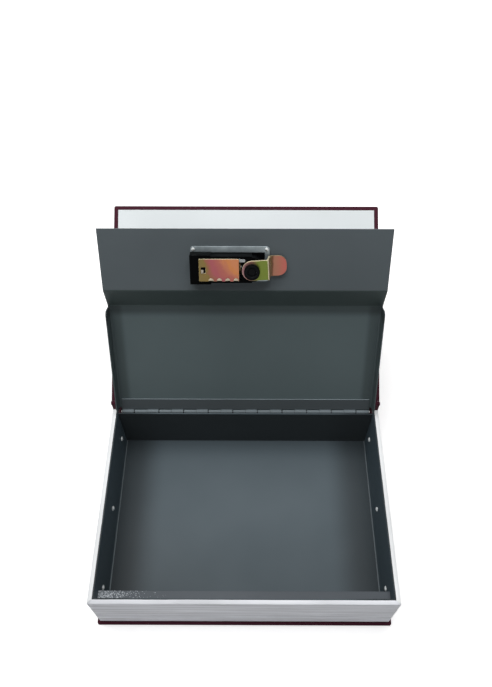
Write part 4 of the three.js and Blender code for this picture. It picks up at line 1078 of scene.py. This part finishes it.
class SAFE_OT_hinge(SafeOperator, Operator):
    """Piano hinge between tray and lid: two leaves with alternate knuckles on one pin"""

    bl_idname = "safe.hinge"
    bl_label = "Piano hinge"

    def execute(self, context):
        for node, body in (("hinge_leaf_box", "box"), ("hinge_leaf_lid", "lid")):
            leaf = dressed(node, body, "grey_paint", "leaf", LEAF_EDGE)
            if body == "lid":
                self.loosen(leaf)
            self.lighten(leaf, body)
        pin = dressed("hinge_pin", "box", "bright_steel", "bright", PIN_EDGE)
        # The pin's middle, seen only through the gaps between the knuckles, gets the darker leaf coat as painted
        # shade; its ends stay bright
        shaded_pin_reach = PIN_END_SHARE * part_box("hinge_pin")[1].x
        repaint(pin, "leaf", lambda face: abs(face.center.x) < shaded_pin_reach)
        return {"FINISHED"}

    def from_pin(self, point):
        return (point - LID_AXIS).yz.length

    def loosen(self, leaf):
        """Each of the lid's knuckles ends short on its right, which leaves a dark gap there"""
        near = [corner for corner in leaf.data.vertices if self.from_pin(corner.co) < KNUCKLE_REACH]
        ends = {round(face.center.x, 5) for face in leaf.data.polygons if face.normal.x > END_SHARE}
        for corner in near:
            if any(abs(corner.co.x - end) < KNUCKLE_END for end in ends):
                corner.co.x -= KNUCKLE_GAP

    def lighten(self, leaf, body):
        """The upward faces of the knuckles are smoother than the leaf and carry a painted highlight, and the lid's
        leaf gets a painted highlight on its free edge
        """
        away = LID_TURN @ Vector((0, -1, 0))

        def knuckle(face):
            looks_up = face.normal.z > UPWARD_SHARE and abs(face.normal.x) < KNUCKLE_SIDE_SHARE
            return looks_up and self.from_pin(face.center) < KNUCKLE_REACH

        def free_edge(face):
            looks_away = body == "lid" and face.normal.dot(away) > PART_SHARE
            return looks_away and self.from_pin(face.center) > 4 * KNUCKLE_REACH

        # Painted highlight on the knuckles' upward faces and on the lid leaf's free edge
        repaint(leaf, "knuckle highlight", knuckle)
        repaint(leaf, "worn", free_edge)


# Half of the band of height that counts as the lid's step
STEP_REACH = 25 * MM


class SAFE_OT_lid(SafeOperator, Operator):
    """Stepped and flanged steel lid"""

    bl_idname = "safe.lid"
    bl_label = "Lid"

    def execute(self, context):
        panel = dressed("lid_panel", "lid", "grey_paint", "paint", sizes().sheet_edge)
        step = max(filter(self.slopes, panel.data.polygons), key=lambda face: face.area).center.z
        # The step gets a darker copy of the coat as painted shade, and the lower panel its own copy with painted
        # shade
        repaint(panel, "step", lambda face: self.slopes(face) and abs(face.center.z - step) < STEP_REACH)
        repaint(panel, "lower panel", lambda face: face.center.z < step)
        return {"FINISHED"}

    def slopes(self, face):
        """Tells the faces that look down and back when the lid is closed"""
        normal = LID_TURN.transposed() @ face.normal
        return normal.y > SLOPE_SHARE and normal.z < -PART_SHARE and abs(normal.x) < SLOPE_SHARE


PLATE_EDGE = 0.42 * MM
NUT_WIDTH_SHARE = 0.94
NUT_DROP = 1.0 * MM
CROWN_BAND = 0.8 * MM
OUTSIDE_SHARE = 0.6
TONGUE_START_SHARE = 0.6
BEZEL_DEPTH = 1 * MM
TAB_DEPTH = 0.5 * MM


class SAFE_OT_lock(SafeOperator, Operator):
    """Lock body, cap, plates, spring comb, bar, pawl and reset tab"""

    bl_idname = "safe.lock"
    bl_label = "Combination lock"

    def execute(self, context):
        edge = sizes().moulded_edge
        rows = (
            ("lock_housing", "lid", "black_plastic", "black", edge),
            ("lock_end_cap", "lid", "black_plastic", "black", edge),
            ("lock_mounting_plate", "lid", "zinc_plate", "zinc", FINE_EDGE),
            ("lock_back_plate", "lid", "yellow_zinc", "plate", PLATE_EDGE),
            ("locking_pawl", "lid", "bright_steel", "pawl", FINE_EDGE),
            ("wheel_axle", "lid", "bright_steel", "bright", FINE_EDGE),
            ("detent_comb", "lid", "white_plastic", "comb", FINE_EDGE),
            ("locking_bar", "lid", "zinc_plate", "zinc", FINE_EDGE),
            ("reset_tab", "reset", "white_plastic", "tab", FINE_EDGE),
            ("lock_knob", "lock_core", "black_plastic", "satin", edge),
            ("lock_spindle", "lock_core", "black_plastic", "nut", FINE_EDGE),
            ("lock_cam", "lock_core", "yellow_zinc", "cam", PLATE_EDGE),
            ("cam_washer", "lock_core", "bright_steel", "bright", THIN_EDGE),
            ("cam_nut", "lock_core", "black_plastic", "nut", FINE_EDGE),
        )
        made = {row[0]: dressed(*row) for row in rows}
        # The plate's and the cam's edges get a pale colour: painted highlight
        repaint_rim(made["lock_back_plate"], "plate rim")
        repaint_rim(made["lock_cam"], "rim")
        # The edges of the crank and the tongue get a duller colour than the painted highlight on those of the disc
        low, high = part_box("lock_cam")
        crank = low.x + TONGUE_START_SHARE * (high.x - low.x)
        repaint(made["lock_cam"], "tongue rim", lambda face: face.center.x > crank, over=1)
        self.trim(made["cam_nut"], NUT_WIDTH_SHARE)
        self.trim(made["lock_spindle"])
        # Only the tab's stub is pale, as its foot lies in the shade of the back plate
        self.repaint_outer(made["reset_tab"], "black", "lock_back_plate", TAB_DEPTH)
        # The bezel outside the lid is glossier than the body inside it
        self.repaint_outer(made["lock_housing"], "satin", "lock_mounting_plate", BEZEL_DEPTH)
        return {"FINISHED"}

    def trim(self, piece, width_share=1.0):
        """The outside is drawn in a little and the crown sits lower, so that the disc shows round the nut"""
        hub = Vector(JOINTS["cam_turn"]["pos_m"])
        places = []
        for corner in piece.data.vertices:
            along = (corner.co - hub).dot(LID_INWARD)
            places.append((along, corner.co - hub - along * LID_INWARD))
        crown = max(along for along, out in places)
        radius = max(out.length for along, out in places)
        for corner, (along, out) in zip(piece.data.vertices, places):
            if out.length > OUTSIDE_SHARE * radius:
                out = out * width_share
            if along > crown - CROWN_BAND:
                along -= NUT_DROP
            corner.co = hub + out + along * LID_INWARD

    def repaint_outer(self, piece, finish, plate, depth):
        """Gives a finish to what lies further out of the lid than a plate, by more than the depth"""
        level = LID_INWARD.dot(centre_of(plate)) - depth
        repaint(piece, finish, lambda face: LID_INWARD.dot(face.center) < level)


NUMBER_RADIUS = 7.9 * MM
NUMBER_RELIEF = 0.12 * MM
RING_EDGE = 0.08 * MM


class SAFE_OT_wheels(SafeOperator, Operator):
    """Number wheels with their code rings and the numbers zero to nine"""

    bl_idname = "safe.wheels"
    bl_label = "Number wheels"

    def execute(self, context):
        tree = build_digit_tree()
        for i in range(1, 5):
            body = f"wheel_{i}"
            dressed(f"number_wheel_{i}", body, "black_plastic", "satin", FINE_EDGE)
            dressed(f"code_ring_{i}", body, "yellow_zinc", "ring", RING_EDGE)
            centre = Vector(JOINTS[f"wheel_{i}_turn"]["pos_m"])
            centre.x = centre_of(f"number_wheel_{i}").x
            digits = run_tree(
                f"{body}_numbers", tree, from_lists("numbers", [(0, 0, 0)]), "digits", first=-LID_ANGLE,
                radius=NUMBER_RADIUS, height=sizes().digit_height, relief=NUMBER_RELIEF,
            )
            digits.data.transform(Matrix.Translation(centre))
            hand_over(digits, None, body, "white_plastic")
        return {"FINISHED"}


class SAFE_OT_covers(SafeOperator, Operator):
    """Cloth-covered boards, spine and endpapers"""

    bl_idname = "safe.covers"
    bl_label = "Boards and endpapers"

    def execute(self, context):
        boards = {"back_cover_board": "box", "front_cover_board": "front_cover", "spine_board": "box"}
        for node, body in boards.items():
            dressed(node, body, "book_cloth", "cloth", sizes().board_edge, 4)
        for node, body in {"back_endpaper": "box", "front_endpaper": "front_cover"}.items():
            dressed(node, body, "endpaper", "paper", THIN_EDGE)
        dressed("spine_liner", "box", "greyboard", "board", SOFT_EDGE)
        return {"FINISHED"}


# The back roll reaches down beside the back board, so no daylight shows under it
BACK_ROLL_DEPTH_SHARE = 1.6


class SAFE_OT_joints(SafeOperator, Operator):
    """Rolled cloth joints between the boards and the spine"""

    bl_idname = "safe.joints"
    bl_label = "Cloth joints"

    def execute(self, context):
        for node in ("cloth_joint_front", "cloth_joint_back"):
            roll = dressed(node, "box", "book_cloth", "cloth", SOFT_EDGE)
            middle = centre_of(node)
            share = 1 + sizes().cloth_swell / (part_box(node)[1].y - middle.y)
            for corner in roll.data.vertices:
                corner.co.y = middle.y + (corner.co.y - middle.y) * share
                corner.co.z = middle.z + (corner.co.z - middle.z) * share
                if node == "cloth_joint_back" and corner.co.z < middle.z:
                    corner.co.z = middle.z + (corner.co.z - middle.z) * BACK_ROLL_DEPTH_SHARE
        return {"FINISHED"}


OPERATORS = (
    SAFE_OT_stage,
    SAFE_OT_tray,
    SAFE_OT_pages,
    SAFE_OT_rivets,
    SAFE_OT_hinge,
    SAFE_OT_lid,
    SAFE_OT_lock,
    SAFE_OT_wheels,
    SAFE_OT_covers,
    SAFE_OT_joints,
)


class SAFE_PT_sidebar(Panel):
    """Lists the makers of the safe"""

    bl_label = "Book Safe"
    bl_idname = "SAFE_PT_sidebar"
    bl_space_type = "VIEW_3D"
    bl_region_type = "UI"
    bl_category = "Book Safe"

    def draw(self, context):
        for name in SETTINGS:
            box = self.layout.box()
            settings = getattr(context.scene, name)
            for entry in settings.__annotations__:
                box.prop(settings, entry)
        for operator in OPERATORS:
            self.layout.operator(operator.bl_idname)


SETTINGS = {"safe_colours": SafeColours, "safe_sizes": SafeSizes, "safe_stage": StageSettings}
CLASSES = (*SETTINGS.values(), *OPERATORS, SAFE_PT_sidebar)


def register():
    for cls in CLASSES:
        bpy.utils.register_class(cls)
    for name, cls in SETTINGS.items():
        setattr(bpy.types.Scene, name, PointerProperty(type=cls))


def unregister():
    for name in SETTINGS:
        delattr(bpy.types.Scene, name)
    for cls in reversed(CLASSES):
        bpy.utils.unregister_class(cls)


def main():
    register()
    for operator in OPERATORS:
        family, name = operator.bl_idname.split(".")
        getattr(getattr(bpy.ops, family), name)()


if __name__ == "__main__":
    main()
